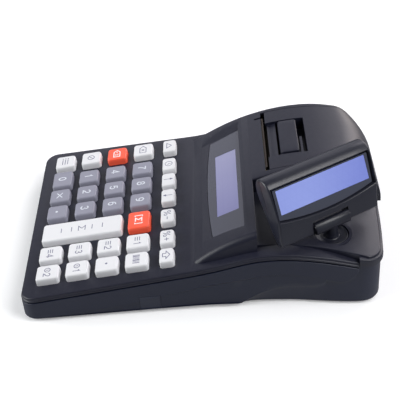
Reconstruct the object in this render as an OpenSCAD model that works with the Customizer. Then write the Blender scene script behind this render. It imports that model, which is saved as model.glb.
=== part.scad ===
// Compact ticket register: a wedge-shaped keyboard till with a recessed operator
// display, a receipt printer under a hinged cover, and a customer display head
// that swivels and tilts on a post.
// X is the operator's right, Y runs from the operator to the customer, Z is up.

/* [Case] */
// Width of the case at its front edge
case_w = 135.4; // [132:0.2:142]
// Width of the case at its waist
waist_w = 127.4; // [125:0.2:130]
// Width of the case at its rear shoulders
rear_w = 133; // [131:0.5:135]
// Length of the keyboard deck
deck_l = 92; // [91:0.5:96]
// Length of the case behind the keyboard deck
hump_l = 109; // [108:0.5:114]
// Plan radius of the front corners
front_corner_r = 8; // [5:0.5:10]
// Plan radius of the rear corners
rear_corner_r = 12; // [9:0.5:15]
// How far the rear edge bows out at its middle
rear_bow = 4.5; // [3:0.5:6]
// Height of the keyboard deck at its front edge
front_h = 16; // [15.5:0.1:18]
// Slope of the keyboard deck, in degrees
deck_tilt = 7; // [6.5:0.1:8]
// Wall thickness of both shells
wall_t = 2; // [1.6:0.1:2.2]
// Inward draft of the lower case, from the deck rim to the underside
side_draft = 1.2; // [0.6:0.1:2]
// Height of the rubber feet below the case
foot_h = 1.5; // [1:0.1:3]
// Diameter of the rubber feet
foot_d = 11; // [8:0.5:14]

/* [Keyboard] */
// Side of a standard key
key_w = 12.1; // [11:0.1:12.6]
// Width of a function key in the two right-hand columns
side_key_w = 11.7; // [11:0.1:12.6]
// Length of a function key in the three right-hand columns
side_key_l = 12.8; // [12:0.1:13.2]
// Length of the keys in the narrow rear row
slim_key_l = 8.2; // [7:0.1:9]
// Width of the zero key
zero_key_w = 15; // [13:0.1:15.6]
// Width of the total and subtotal keys
total_key_w = 15.2; // [14:0.1:15.6]
// Column pitch within a group of keys
col_pitch = 15.5; // [15.3:0.1:15.8]
// Extra space after the leftmost column
left_gap = 3.5; // [3:0.1:4]
// Extra space on each side of the total column
total_gap = 2.9; // [2.6:0.1:3.2]
// Row pitch along the deck
row_pitch = 16.5; // [16.2:0.1:16.7]
// Distance from the front edge to the middle of the first row
first_row = 15; // [14.8:0.1:15.8]
// Height of the key tops above the deck
key_rise = 4; // [3.2:0.1:5]
// Travel of a key
key_travel = 2.2; // [1.5:0.1:2.4]
// Corner radius of a key
key_corner = 1.7; // [1:0.1:2.5]
// Running gap round a key in its hole
key_gap = 0.3; // [0.2:0.05:0.4]

/* [Operator display] */
// Height of the hump over the printer
hump_top = 51.5; // [51:0.5:54]
// Radius of the hump's profile
hump_r = 113; // [111:1:116]
// Slope of the operator's window, in degrees
lens_tilt = 24.5; // [23:0.5:26]
// Length of the window along its slope
lens_l = 19.4; // [18:0.2:20]
// Width of the window at its front edge
lens_w = 87; // [82:1:90]
// Extra width of the window at its rear edge
lens_flare = 5; // [2:0.5:8]
// Bow of the window's front edge
lens_bow = 2.4; // [1:0.2:3]
// Thickness of the windows
lens_t = 1.6; // [1.2:0.1:2]
// Length of a display's glass
glass_w = 56; // [50:1:60]
// Height of a display's glass
glass_h = 13; // [11:0.5:14]

/* [Printer] */
// Width of the printer cover
cover_w = 57.8; // [57.4:0.1:60]
// Distance between the printer cover and the hump's left-hand side
cover_margin = 8.3; // [8:0.1:9]
// Distance from the printer cover's front edge to the rear edge
cover_l = 62.2; // [61:0.2:63]
// Thickness of the cover
cover_t = 2.2; // [1.8:0.1:2.4]
// Width of the finger window in the cover
window_w = 34.5; // [30:0.5:38]
// Length of the finger window in the cover
window_l = 22.4; // [21.5:0.1:24]
// Length of the release lever
lever_l = 10.6; // [9:0.2:12]
// Diameter of the platen roller
platen_d = 9; // [7:0.2:9.2]
// Diameter of the platen's shaft
platen_shaft_d = 4; // [3:0.1:5]
// Length of the tear bar
tear_bar_w = 49; // [40:1:55]
// Width of the paper roll
roll_w = 57; // [50:0.5:57.4]
// Diameter of the paper roll
roll_d = 30; // [26:1:31]
// Diameter of the roll's core
core_d = 12; // [8:0.5:18]
// Diameter of the cover's hinge pins
hinge_pin_d = 3; // [2:0.1:4]
// Diameter of the cover's hinge barrel
hinge_barrel_d = 6.8; // [6:0.1:7.4]

/* [Customer display] */
// Distance of the swivel from the case's middle
swivel_x = 46.8; // [46:0.1:48]
// Distance of the swivel behind the operator display
swivel_back = 40; // [38:0.1:42]
// Diameter of the swivel spindle
spindle_d = 11; // [8:0.5:13]
// Height of the shelf under the head
shelf_h = 36.8; // [35.5:0.1:38]
// Height of the tilt axis above the bottom of the swivel dish
post_h = 10.6; // [10.4:0.1:13]
// Width of the head
head_w = 66.8; // [60:0.2:68]
// Height of the head's face
head_h = 36.6; // [34:0.2:40]
// Depth of the head
head_d = 14; // [12.5:0.1:14.4]
// Width of the knuckle between the head's lugs
knuckle_w = 22; // [16:0.5:26]
// Diameter of the knuckle
knuckle_d = 7; // [6:0.1:7.6]
// Diameter of the tilt pin
tilt_pin_d = 3; // [2:0.1:4]
// Direction that the head faces, from the operator's right toward the customer
head_yaw = 29.9; // [20:0.1:40]
// Backward lean of the head's face
head_lean = 25.7; // [20:0.1:30]

/* [Hidden] */
$fn = 48;

// Colours
deck_black = "#3d3c43";
base_black = "#2d303e";
gloss_black = "#34343c";
lens_grey = "#4b505f";
key_white = "#ecece9";
key_grey = "#7d7d8d";
key_red = "#ff5a3c";
metal = "#8c8480";
steel = "#a8a8ad";

// Fits
fit_run = 0.05;     // radial clearance of a turning fit
fit_loose = 0.35;   // gap round a lid or a window
fit_seat = 0.15;    // gap round a piece that is set in a pocket
touch_gap = 0.1;    // gap under a piece that is held but not glued

// Case plan
case_l = deck_l + hump_l;
waist_y = deck_l + 8;               // where the waist is narrowest
shoulder_y = case_l - 17;           // where the rear is widest
rear_step = 2.5;                    // how far the hump overhangs the case's rear
rim_h = 3.2;                        // deck rim above the parting line
ledge_w = 5;                        // ledge between the rim and the hump
ledge_end = case_l - 19.5;          // where the ledge runs out
arc_steps = 6;
draft_top = front_h - 2;            // height at which the draft starts

function lerp(a, b, t) = a + (b - a) * t;
function clamp01(t) = min(1, max(0, t));
function side_x(y) = y < waist_y
    ? lerp(case_w / 2, waist_w / 2, y / waist_y)
    : lerp(waist_w / 2, rear_w / 2,
        (1 - cos(180 * clamp01((y - waist_y) / (shoulder_y - waist_y)))) / 2);
function rear_y(x) = case_l - rear_step - rear_bow * pow(x / (rear_w / 2), 2);
rear_corner_x = rear_w / 2 - rear_corner_r;
rear_corner_y = rear_y(rear_corner_x) - rear_corner_r;
front_corner_x = side_x(front_corner_r) - front_corner_r;

// Right-hand half of the plan, from the front edge round to the rear edge
function half_plan(inset) = concat(
    [for (i = [0:arc_steps]) let (a = 90 * i / arc_steps)
        [front_corner_x + (front_corner_r - inset) * sin(a),
         front_corner_r - (front_corner_r - inset) * cos(a)]],
    [for (i = [1:8]) let (y = lerp(front_corner_r, rear_corner_y, i / 9))
        [side_x(y) - inset, y]],
    [for (i = [0:arc_steps]) let (a = 90 * i / arc_steps)
        [rear_corner_x + (rear_corner_r - inset) * cos(a),
         rear_corner_y + (rear_corner_r - inset) * sin(a)]],
    [for (i = [1:3]) let (x = rear_corner_x * (1 - i / 4)) [x, rear_y(x) - inset]]);
function mirrored(points) = [for (i = [len(points) - 1:-1:0]) [-points[i][0], points[i][1]]];
function case_plan(inset) = concat(half_plan(inset), mirrored(half_plan(inset)));

// Side profile
function deck_z(y) = front_h + y * tan(deck_tilt);
function bezier(p, n) = [for (i = [1:n]) let (t = i / n, u = 1 - t)
    u * u * u * p[0] + 3 * u * u * t * p[1] + 3 * u * t * t * p[2] + t * t * t * p[3]];
deck_end = deck_l;                  // where the parting line leaves the deck
crest_y = case_l - 60;              // highest point of the parting line
crest_rise = 9.4;
split_start = [deck_end, deck_z(deck_end) - rim_h];
crest = [crest_y, split_start[1] + crest_rise];
split_end = [ledge_end, crest[1] - 6.9];
rear_split_z = crest[1] - 7.4;
// Sweep over the flank, lifted by h from the parting line
function flank_curve(h) = [for (p = concat([[-10, deck_z(-10) - rim_h], split_start],
    bezier([split_start, split_start + [22, 22 * tan(deck_tilt)], crest - [20, 0], crest], 8),
    bezier([crest, crest + [14, 0], split_end + [-11.5, 3.4], split_end], 6))) p + [0, h]];
function split_curve() = concat(flank_curve(0),
    [[ledge_end, split_end[1] + 3], [ledge_end + 9.5, rear_split_z],
     [case_l + 10, rear_split_z]]);
// The rim and ledge run at a fixed height over the parting line
function rim_curve(drop) = concat(flank_curve(rim_h - drop),
    [[case_l + 10, split_end[1] + rim_h - drop]]);
function at_y(curve, y) = let (hits = [for (i = [0:len(curve) - 2])
    if (curve[i][0] <= y && y < curve[i + 1][0])
        lerp(curve[i][1], curve[i + 1][1],
            (y - curve[i][0]) / (curve[i + 1][0] - curve[i][0]))]) hits[0];
function ledge_z(y) = at_y(rim_curve(0), y);

// Hump and shelf
hump_peak_y = case_l - 37;
function hump_z(y) = hump_top - hump_r + sqrt(pow(hump_r, 2) - pow(y - hump_peak_y, 2));
hump_start = deck_end - 2;          // first hump section, sunk under the deck
lens_y = deck_end + 13.3;           // front edge of the operator's window
hump_wall_y = lens_y + 23.4;        // rear wall of the operator display
cover_left = cover_margin + ledge_w - rear_w / 2;
cover_right = cover_left + cover_w;
printer_x = cover_left + cover_w / 2;
hump_wall_x = cover_right + 4.9;    // right-hand wall of the printer hump
hump_lean = 0.16;                   // lean of the hump's end walls
hump_edge_r = 3;                    // rounding of the hump's top edges
round_r = 20.5;                     // quarter-round at the rear of the hump
round_y = case_l - round_r;
round_z = hump_z(round_y) - round_r;
hump_turn = [60, 20];               // the hump's rear edge turns like half an ellipse
shelf_crest = case_l - 51;          // the shelf is level up to here
shelf_r = 175;                      // then falls along this radius
function shelf_z(y) = shelf_h - (y < shelf_crest ? 0
    : shelf_r - sqrt(pow(shelf_r, 2) - pow(y - shelf_crest, 2)));

// Keyboard
mat_t = 0.7;
board_t = 1.6;
flange_out = 0.8;
flange_t = 1;
flange_h = wall_t + 0.3;                                // top of the flange under the deck
mat_h = flange_h + flange_t + key_travel + 2.4;         // top of the mat under the deck
board_h = mat_h + mat_t;
stem_d = 4;
collar_d = 8.4;
col_a = -51;
col_b = col_a + col_pitch + left_gap;
col_c = col_b + col_pitch;
col_d = col_c + col_pitch;
col_e = col_d + col_pitch + total_gap;
col_f = col_e + col_pitch + total_gap;
col_g = col_f + col_pitch;
row_5_gap = 0;
function row(i) = first_row + row_pitch * (i - 1) + (i > 4 ? row_5_gap : 0);
total_l = 2 * row_pitch + side_key_l + 0.7;
zero_x = col_b + (key_w - zero_key_w) / 2 + 0.4;

// Each key: name, column, place along the deck, width, length, colour
KEYS = [
    ["key_price_lookup", col_a, row(1), key_w, key_w, key_white],
    ["key_0", zero_x, row(1), zero_key_w, key_w, key_grey],
    ["key_multiply", col_c, row(1), key_w, key_w, key_grey],
    ["key_point", col_d, row(1), key_w, key_w, key_grey],
    ["key_total", col_e, row(2), total_key_w, total_l, key_white],
    ["key_dept_4", col_f, row(1), side_key_w, side_key_l, key_white],
    ["key_pay_2", col_g, row(1), side_key_w, side_key_l, key_white],
    ["key_void", col_a, row(2), key_w, key_w, key_white],
    ["key_1", col_b, row(2), key_w, key_w, key_grey],
    ["key_2", col_c, row(2), key_w, key_w, key_grey],
    ["key_3", col_d, row(2), key_w, key_w, key_grey],
    ["key_dept_3", col_f, row(2), side_key_w, side_key_l, key_white],
    ["key_pay_1", col_g, row(2), side_key_w, side_key_l, key_white],
    ["key_price", col_a, row(3), key_w, key_w, key_red],
    ["key_4", col_b, row(3), key_w, key_w, key_grey],
    ["key_5", col_c, row(3), key_w, key_w, key_grey],
    ["key_6", col_d, row(3), key_w, key_w, key_grey],
    ["key_dept_2", col_f, row(3), side_key_w, side_key_l, key_white],
    ["key_dot", col_g, row(3), side_key_w, side_key_l, key_white],
    ["key_clear", col_a, row(4), key_w, key_w, key_white],
    ["key_7", col_b, row(4), key_w, key_w, key_grey],
    ["key_8", col_c, row(4), key_w, key_w, key_grey],
    ["key_9", col_d, row(4), key_w, key_w, key_grey],
    ["key_subtotal", col_e, row(4), total_key_w, side_key_l, key_red],
    ["key_dept_1", col_f, row(4), side_key_w, side_key_l, key_white],
    ["key_barcode", col_g, row(4), side_key_w, side_key_l, key_white],
    ["key_feed", col_a, row(5), key_w, slim_key_l, key_white],
    ["key_clock", col_b, row(5), key_w, slim_key_l, key_white],
    ["key_up", col_c, row(5), key_w, slim_key_l, key_white],
    ["key_down", col_d, row(5), key_w, slim_key_l, key_white],
    ["key_minus_percent", col_e, row(5), key_w, slim_key_l, key_white],
    ["key_plus_percent", col_f, row(5), side_key_w, slim_key_l, key_white],
    ["key_shift", col_g, row(5), side_key_w, slim_key_l, key_white]];
total_stem = row_pitch;                                 // the long key has a stem at each end
function stems(k) = k[0] == "key_total"
    ? [[k[1], k[2] - total_stem], [k[1], k[2] + total_stem]] : [[k[1], k[2]]];
// Posts under the deck that carry the board, between the keys and at its sides
post_d = 3;
side_post_x = col_g + side_key_w / 2 + flange_out + post_d / 2 + 0.2;
mid_post_x = (col_a + col_b) / 2 + 0.05;
board_posts = concat(
    [for (s = [row(1) + row_pitch / 2, row(3), row(5) - 4]) for (k = [-1, 1])
        [k * side_post_x, s]],
    [[mid_post_x, row(2) + row_pitch / 2], [mid_post_x, row(4) + row_pitch / 2]]);

// Operator display
lens_drop = 1.1;                                        // window below the hump's surface
lens_z = hump_z(lens_y) - lens_drop;
pan_t = 1.5;
lcd_w = glass_w + 10;
lcd_h = glass_h + 8;
lcd_t = 5;
glass_seat = 0.1;

// Printer
bay_half = cover_w / 2 + fit_loose - 0.15;              // half width of the paper bay
bay_wall = 2;
cover_front = case_l - cover_l;
bay_front = cover_front + 11.7;
bay_rear = case_l - 13;
bay_floor = 6;
roll_y = bay_front + bay_wall + roll_d / 2 + 0.6;
roll_z = bay_floor + roll_d / 2 + 0.3;
slot_front = cover_front - 2.4;
platen_y = cover_front + 3.7;
platen_z = 41.4;
gear_teeth = 20;
gear_module = 0.5;
gear_r = gear_teeth * gear_module / 2;
gear_w = 2.5;
mesh_play = 0.1;                                        // extra centre distance of the gears
drive_angle = 267;                                      // direction from platen to drive gear
drive_y = platen_y + (2 * gear_r + mesh_play) * cos(drive_angle);
drive_z = platen_z + (2 * gear_r + mesh_play) * sin(drive_angle);
motor_d = 9;
motor_l = 12;
motor_shaft_d = 1.5;
frame_t = 1.2;
printer_floor = drive_z - gear_r - gear_module - frame_t - 0.5;
plate_out = cover_w / 2;                                // outer face of the frame's end plates
plate_t = 1.1;
cheek_t = 1.8;
cheek_out = plate_out - plate_t - 0.4;                  // outer face of the cover's cheeks
cheek_r = 3.3;
side_play = 0.3;                                        // end play of the platen
gear_x = printer_x - cheek_out + cheek_t + side_play;
platen_x = [gear_x + gear_w + side_play, printer_x + cheek_out - cheek_t - side_play];
bracket_x = gear_x + gear_w + 0.2;                      // motor bracket beside the drive gear
head_face_y = platen_y - platen_d / 2 - 0.3;            // face of the print head
head_plate_t = 1.4;
tear_bar_t = 0.8;
apron_t = 1;
lever_w = window_w - 2.7;
lever_front = cover_front + 7.1;
lever_t = 3;
lever_rise = 0.4;
lever_pin_d = 2.2;
lever_pin_y = lever_front + 1.5;
lever_pin_z = hump_z(lever_pin_y) - 1.9;
lever_boss_w = 3.2;
hinge_y = case_l - 4.5;
hinge_z = rear_split_z + 3.8;
barrel_left = printer_x - 3;                         // left-hand end of the cover's barrel
far_lug_w = 4;
pin_grip = 10;                                          // how far a hinge pin enters the barrel
pin_head_t = 2;
pin_head_d = hinge_barrel_d - 0.4;
cover_hem = round_z + 2.3;                              // lower edge of the cover's rear

// Swivel and head
swivel_y = hump_wall_y + swivel_back;
dish_r = spindle_d / 2 + 3.9;
dish_depth = 2.4;
dish_z = shelf_z(swivel_y) - dish_depth;
disc_t = 1.6;
spindle_l = 8;
clip_t = 1.2;
clip_out = 2.2;
neck_d = 8.5;
tilt_z = dish_z + post_h;
face_bottom = -3.4;                                     // foot of the face below the tilt axis
face_top = face_bottom + head_h - 0.6;
head_seam = head_d / 2;                                 // depth of the joint between its shells
head_wall = 1.8;
head_corner = 3;
notch_h = 3.4;                                          // top of the notch above the tilt axis
notch_gap = 0.3;
head_lens_w = head_w - 4.4;
head_lens_bottom = 10.4;
head_lens_top = 27.7;
head_lens_bow = 3.4;
head_lens_r = 1.2;
head_glass_b = 20.1;                                    // middle of the glass above the axis

// Rear sockets and battery
socket_floor = 6;
socket_x = [19, 34, 49];
socket_w = [9, 12, 14];
socket_h = [11, 11, 13];
socket_l = 13;
function socket_face(i) = rear_y(socket_x[i] + socket_w[i] / 2) - 1.4;
battery = [66, 29, 17];
battery_y = deck_l + 9;
port_y = [64.2, 75.4];                                  // port cover along the right side
port_z = [foot_h + 1, foot_h + 10.9];
screw_d = 2.8;
screw_head_d = 5.4;
screw_head_h = 1.8;
screw_boss_d = 6.4;
front_screw = [case_w / 2 - 6.4, 8.6];
rear_screw = [rear_w / 2 - 6.2, case_l - 25];
front_boss_z = 9;
rear_boss_z = 20;
function screw_spots() = [for (k = [-1, 1]) for (p = [front_screw, rear_screw])
    [k * p[0], p[1], p == front_screw ? front_boss_z : rear_boss_z]];
feet = [for (f = [[case_w / 2 - 15.7, 20], [rear_w / 2 - 14.5, case_l - 25]]) for (k = [-1, 1])
    [k * f[0], f[1]]];
foot_sunk = 0.6;

// ---------- Frames of reference ----------

// Moves a shape drawn from the front edge to the part's own origin
module from_front() {
    translate([0, -case_l / 2, 0]) children();
}

// Deck frame: X across, Y along the slope from the front edge, Z off the deck
module on_deck() {
    from_front() translate([0, 0, front_h]) rotate([deck_tilt, 0, 0]) children();
}

// Window frame of the operator display
module on_lens() {
    translate([0, lens_y, lens_z]) rotate([lens_tilt, 0, 0]) children();
}

// Head frame: X across the face as a viewer sees it, Y up the face, Z out of it
module on_head() {
    from_front() translate([swivel_x, swivel_y, tilt_z])
        rotate([0, 0, 90 + head_yaw]) rotate([90 - head_lean, 0, 0]) children();
}

// ---------- Shape helpers ----------

// Solid between stacked plan outlines that all have the same even number of points
module stack(rings, heights) {
    n = len(rings[0]);
    m = len(rings);
    points = [for (j = [0:m - 1]) for (p = rings[j]) [p[0], p[1], heights[j]]];
    sides = [for (j = [0:m - 2]) for (i = [0:n - 1]) let (k = (i + 1) % n)
        each [[j * n + i, (j + 1) * n + i, (j + 1) * n + k],
            [j * n + i, (j + 1) * n + k, j * n + k]]];
    // Both ends are strips between opposite points, because the outline may be waisted
    bottom = [for (i = [0:n / 2 - 2])
        each [[i, i + 1, n - 2 - i], [i, n - 2 - i, n - 1 - i]]];
    top = [for (f = bottom) [for (q = [2:-1:0]) (m - 1) * n + f[q]]];
    polyhedron(points, concat(bottom, sides, top), convexity = 6);
}

// Extrudes a side profile, given as Y and Z, from x0 to x1
module across(x0, x1) {
    translate([x0, 0, 0]) rotate([90, 0, 90]) linear_extrude(x1 - x0) children();
}

module rod(x0, x1, y, z, d) {
    translate([x0, y, z]) rotate([0, 90, 0]) cylinder(d = d, h = x1 - x0);
}

module block(x, y, z) {
    translate([x[0], y[0], z[0]]) cube([x[1] - x[0], y[1] - y[0], z[1] - z[0]]);
}

module rounded_plate(w, l, r) {
    square([w - 2 * r, l], center = true);
    square([w, l - 2 * r], center = true);
    for (i = [-1, 1]) for (j = [-1, 1])
        translate([i * (w / 2 - r), j * (l / 2 - r)]) circle(r);
}

// ---------- Lower case ----------

module lower_skin(inset, floor_z) {
    stack([case_plan(inset + side_draft + 0.6), case_plan(inset + side_draft),
        case_plan(inset), case_plan(inset)],
        [floor_z, floor_z + 0.9, max(draft_top, floor_z + 2), crest[1] + 5]);
}

module below_split() {
    across(-case_w, case_w)
        polygon(concat(split_curve(), [[case_l + 10, -5], [-10, -5]]));
}

// Finger scoops low on both flanks, which run out toward the rear
scoop_front = deck_l + 27;
scoop_mid = case_l - 51;
scoop_end = case_l - 19;
scoop_top = 15.5;
scoop_in = 3;
module scoops() {
    for (k = [0, 1]) mirror([k, 0, 0]) intersection() {
        stack([for (c = [[foot_h - 1, 1], [scoop_top, -0.02]]) concat(
            [[case_w, scoop_front], [case_w, scoop_end]],
            [for (y = [scoop_end, scoop_mid, scoop_front + 16, scoop_front]) [side_x(y)
                - c[1] * (side_draft + (y < scoop_end ? scoop_in : 0)), y]])],
            [foot_h - 1, scoop_top]);
        across(0, case_w) polygon([[scoop_front, 0], [scoop_front + 0.5, 3],
            [scoop_front + 8, 8.6], [scoop_front + 19, 13.6], [scoop_mid, scoop_top],
            [scoop_end, scoop_top], [scoop_end, 0]]);
    }
}

module port_opening(gap) {
    block([waist_w / 2 - 6, waist_w / 2 + 6], [port_y[0] - gap, port_y[1] + gap],
        [port_z[0] - gap, port_z[1] + gap]);
}

module socket_openings(gap, y0) {
    for (i = [0:2])
        block([socket_x[i] - socket_w[i] / 2 - gap, socket_x[i] + socket_w[i] / 2 + gap],
            [y0, case_l + 2], [socket_floor, socket_floor + socket_h[i] + gap]);
}

module lower_case() {
    color(base_black) from_front() difference() {
        union() {
            difference() {
                intersection() {
                    lower_skin(0, foot_h);
                    below_split();
                }
                difference() {
                    lower_skin(wall_t, foot_h + wall_t);
                    for (k = [0, 1]) mirror([k, 0, 0])
                        block([side_x(scoop_front) - side_draft - scoop_in - wall_t, case_w],
                            [scoop_front - wall_t, scoop_mid + 12], [0, scoop_top + wall_t]);
                }
            }
            for (p = screw_spots())
                translate([p[0], p[1], foot_h + wall_t - 0.5])
                    cylinder(d = screw_boss_d, h = p[2] - foot_h - wall_t + 0.5);
            block([socket_x[0] - 6, socket_x[2] + 8], [case_l - 20, case_l - 7],
                [foot_h + wall_t - 0.5, socket_floor]);
        }
        scoops();
        port_opening(fit_seat);
        socket_openings(fit_seat, case_l - 12);
        for (p = screw_spots()) {
            translate([p[0], p[1], 0]) cylinder(d = screw_d + 0.4, h = p[2] + 1);
            translate([p[0], p[1], 0])
                cylinder(d = screw_head_d + 0.6, h = foot_h + screw_head_h + 0.3);
        }
        for (p = feet)
            translate([p[0], p[1], 0]) cylinder(d = foot_d + 0.2, h = foot_h + foot_sunk);
        rod(barrel_left - 0.4, cover_right + fit_loose, hinge_y, hinge_z,
            2 * hinge_barrel_d);
    }
}

module side_port_cover() {
    color("#3f4352") from_front() difference() {
        intersection() {
            lower_skin(0, foot_h);
            port_opening(0);
        }
        lower_skin(wall_t, foot_h + wall_t);
    }
}

module rubber_feet() {
    color("#1c1c1f") from_front() for (p = feet)
        translate([p[0], p[1], 0]) cylinder(d = foot_d, h = foot_h + foot_sunk);
}

module case_screws() {
    color(steel) from_front() for (p = screw_spots())
        translate([p[0], p[1], foot_h + 0.3]) {
            difference() {
                cylinder(d = screw_head_d, h = screw_head_h);
                translate([0, 0, -0.1]) cylinder(d = 2.2, h = 1, $fn = 6);
            }
            cylinder(d = screw_d, h = p[2] + 5.5 - foot_h);
        }
}

// ---------- Upper case ----------

// One cross-section of the hump, t inside the surface, between xl and xr
module hump_section(y, top, xl, xr, t, lean_right) {
    low = min(ledge_z(y), top) - 1;
    rise = max(0, top - low);
    lean = hump_lean * rise;
    r = hump_edge_r;
    right = lean_right ? lean : 0;
    translate([0, y, 0]) rotate([90, 0, 0]) linear_extrude(0.01)
        polygon([[xl + t, 2], [xl + t, low], [xl + t + lean, top - t - r],
            [xl + t + lean + 0.3 * r, top - t - 0.3 * r], [xl + t + lean + r, top - t],
            [xr - t - right - (lean_right ? r : 0), top - t],
            [xr - t - right - (lean_right ? 0.3 * r : 0), top - t - (lean_right ? 0.3 * r : 0)],
            [xr - t - right, top - t - (lean_right ? r : 0)],
            [xr - t, low], [xr - t, 2]]);
}

function hump_side(y) = side_x(y) - ledge_w;

module operator_hump(t) {
    hull() for (s = [0, 0.18, 0.36, 0.57, 0.78, 1]) let (
        y = lerp(hump_start, hump_wall_y - t, s))
        hump_section(y, hump_z(y), -hump_side(y), hump_side(y), t, true);
}

// Plan slice of the hump's rear end at angle a up its quarter-round
function rear_slice(a, t, y0 = round_y - 20) = let (
    z = round_z + (round_r - t) * sin(a),
    y = round_y + (round_r - t) * cos(a),
    x = t - hump_side(round_y) + hump_lean * max(0, z - ledge_z(round_y) + 1),
    turn = hump_turn[1] * (1 - a / 90) + 2)
    concat([[hump_wall_x - t, y0], [hump_wall_x - t, y]],
        [for (b = [0:10:90]) [x + hump_turn[0] * (1 - sin(b)), y - turn * (1 - cos(b))]],
        [[x, y0]]);
module printer_hump(t) {
    hull() {
        for (i = [0:7]) let (y = lerp(hump_start + 10, round_y, i / 7))
            hump_section(y, hump_z(y), -hump_side(y), hump_wall_x, t, false);
        for (a = [76, 62, 48, 32, 16, 0])
            translate([0, 0, round_z + (round_r - t) * sin(a)]) linear_extrude(0.01)
                polygon(rear_slice(a, t));
        translate([0, 0, 2]) linear_extrude(0.01) polygon(rear_slice(0, t));
    }
}

// The shelf's outer edge sweeps out to the rear corner
shelf_edge = [[hump_wall_y - 3, 9], [case_l - 57, 9], [case_l - 48, 8.4], [case_l - 37, 6.7],
    [case_l - 23, 3.7], [case_l - 16, 2.4]];
module shelf_block(t) {
    intersection() {
        linear_extrude(60) polygon(case_plan(1.6 + t));
        linear_extrude(60) polygon(concat([for (p = shelf_edge) [side_x(p[0]) - p[1] - t, p[0]]],
            [[case_w / 2, case_l - 10], [case_w / 2, case_l], [hump_wall_x - 3, case_l],
             [hump_wall_x - 3, hump_wall_y - 3]]));
        across(hump_wall_x - 3, case_w / 2)
            polygon(concat([[hump_wall_y - 3, 20]],
                [for (y = concat([hump_wall_y - 3], [for (i = [0:5])
                    lerp(shelf_crest, case_l + 2, i / 5)])) [y, shelf_z(y) - t]],
                [[case_l + 2, 20]]));
    }
}

// Rear shoulder, where the ledge has run out and the body fills the whole plan
module rear_shoulder(t) {
    intersection() {
        linear_extrude(60) polygon(case_plan(0.6 + t));
        across(-case_w / 2, case_w / 2)
            polygon(concat([[ledge_end + t, 20]],
                [for (i = [0:2]) let (y = lerp(ledge_end + t, case_l + 2, i / 2))
                    [y, shelf_z(y) - 1.2 - t]],
                [[case_l + 2, 20]]));
    }
}

module rim_body(t, base) {
    intersection() {
        linear_extrude(60) polygon(case_plan(t));
        across(-case_w, case_w) polygon(concat(rim_curve(t),
            [[case_l + 10, base], [-10, base]]));
    }
}

module upper_solid(t, base) {
    rim_body(t, base);
    operator_hump(t);
    printer_hump(t);
    shelf_block(t);
    rear_shoulder(t);
}

module lens_outline(gap) {
    half = lens_w / 2 + gap;
    polygon(concat(
        [for (i = [-6:6]) let (x = half * i / 6)
            [x, -gap - lens_bow * (1 - pow(i / 6, 2))]],
        [[half + lens_flare / 2, lens_l + gap], [-half - lens_flare / 2, lens_l + gap]]));
}

module key_hole(k) {
    translate([k[1], k[2], 0]) linear_extrude(20, center = true)
        rounded_plate(k[3] + 2 * key_gap, k[4] + 2 * key_gap, key_corner + key_gap);
}

// Cover outline seen from above, grown by a gap
module cover_plan(gap) {
    translate([cover_left - gap, cover_front - gap])
        square([cover_right - cover_left + 2 * gap, cover_l + 5 + gap]);
}

// Room for the paper roll, open at the top
module paper_bay() {
    intersection() {
        block([printer_x - bay_half, printer_x + bay_half],
            [bay_front + bay_wall, bay_rear], [bay_floor, 70]);
        linear_extrude(70) polygon(rear_slice(0, wall_t + bay_wall - 0.5, bay_front));
    }
}

module paper_bay_walls() {
    difference() {
        block([printer_x - bay_half - bay_wall, hump_wall_x - wall_t],
            [bay_front, bay_rear + bay_wall],
            [bay_floor - 1.5, round_z + 9]);
        paper_bay();
    }
    block([printer_x - bay_half - bay_wall, hump_wall_x - wall_t],
        [hump_wall_y - 2, bay_front + bay_wall], [printer_floor - 1.5, printer_floor]);
}

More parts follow.
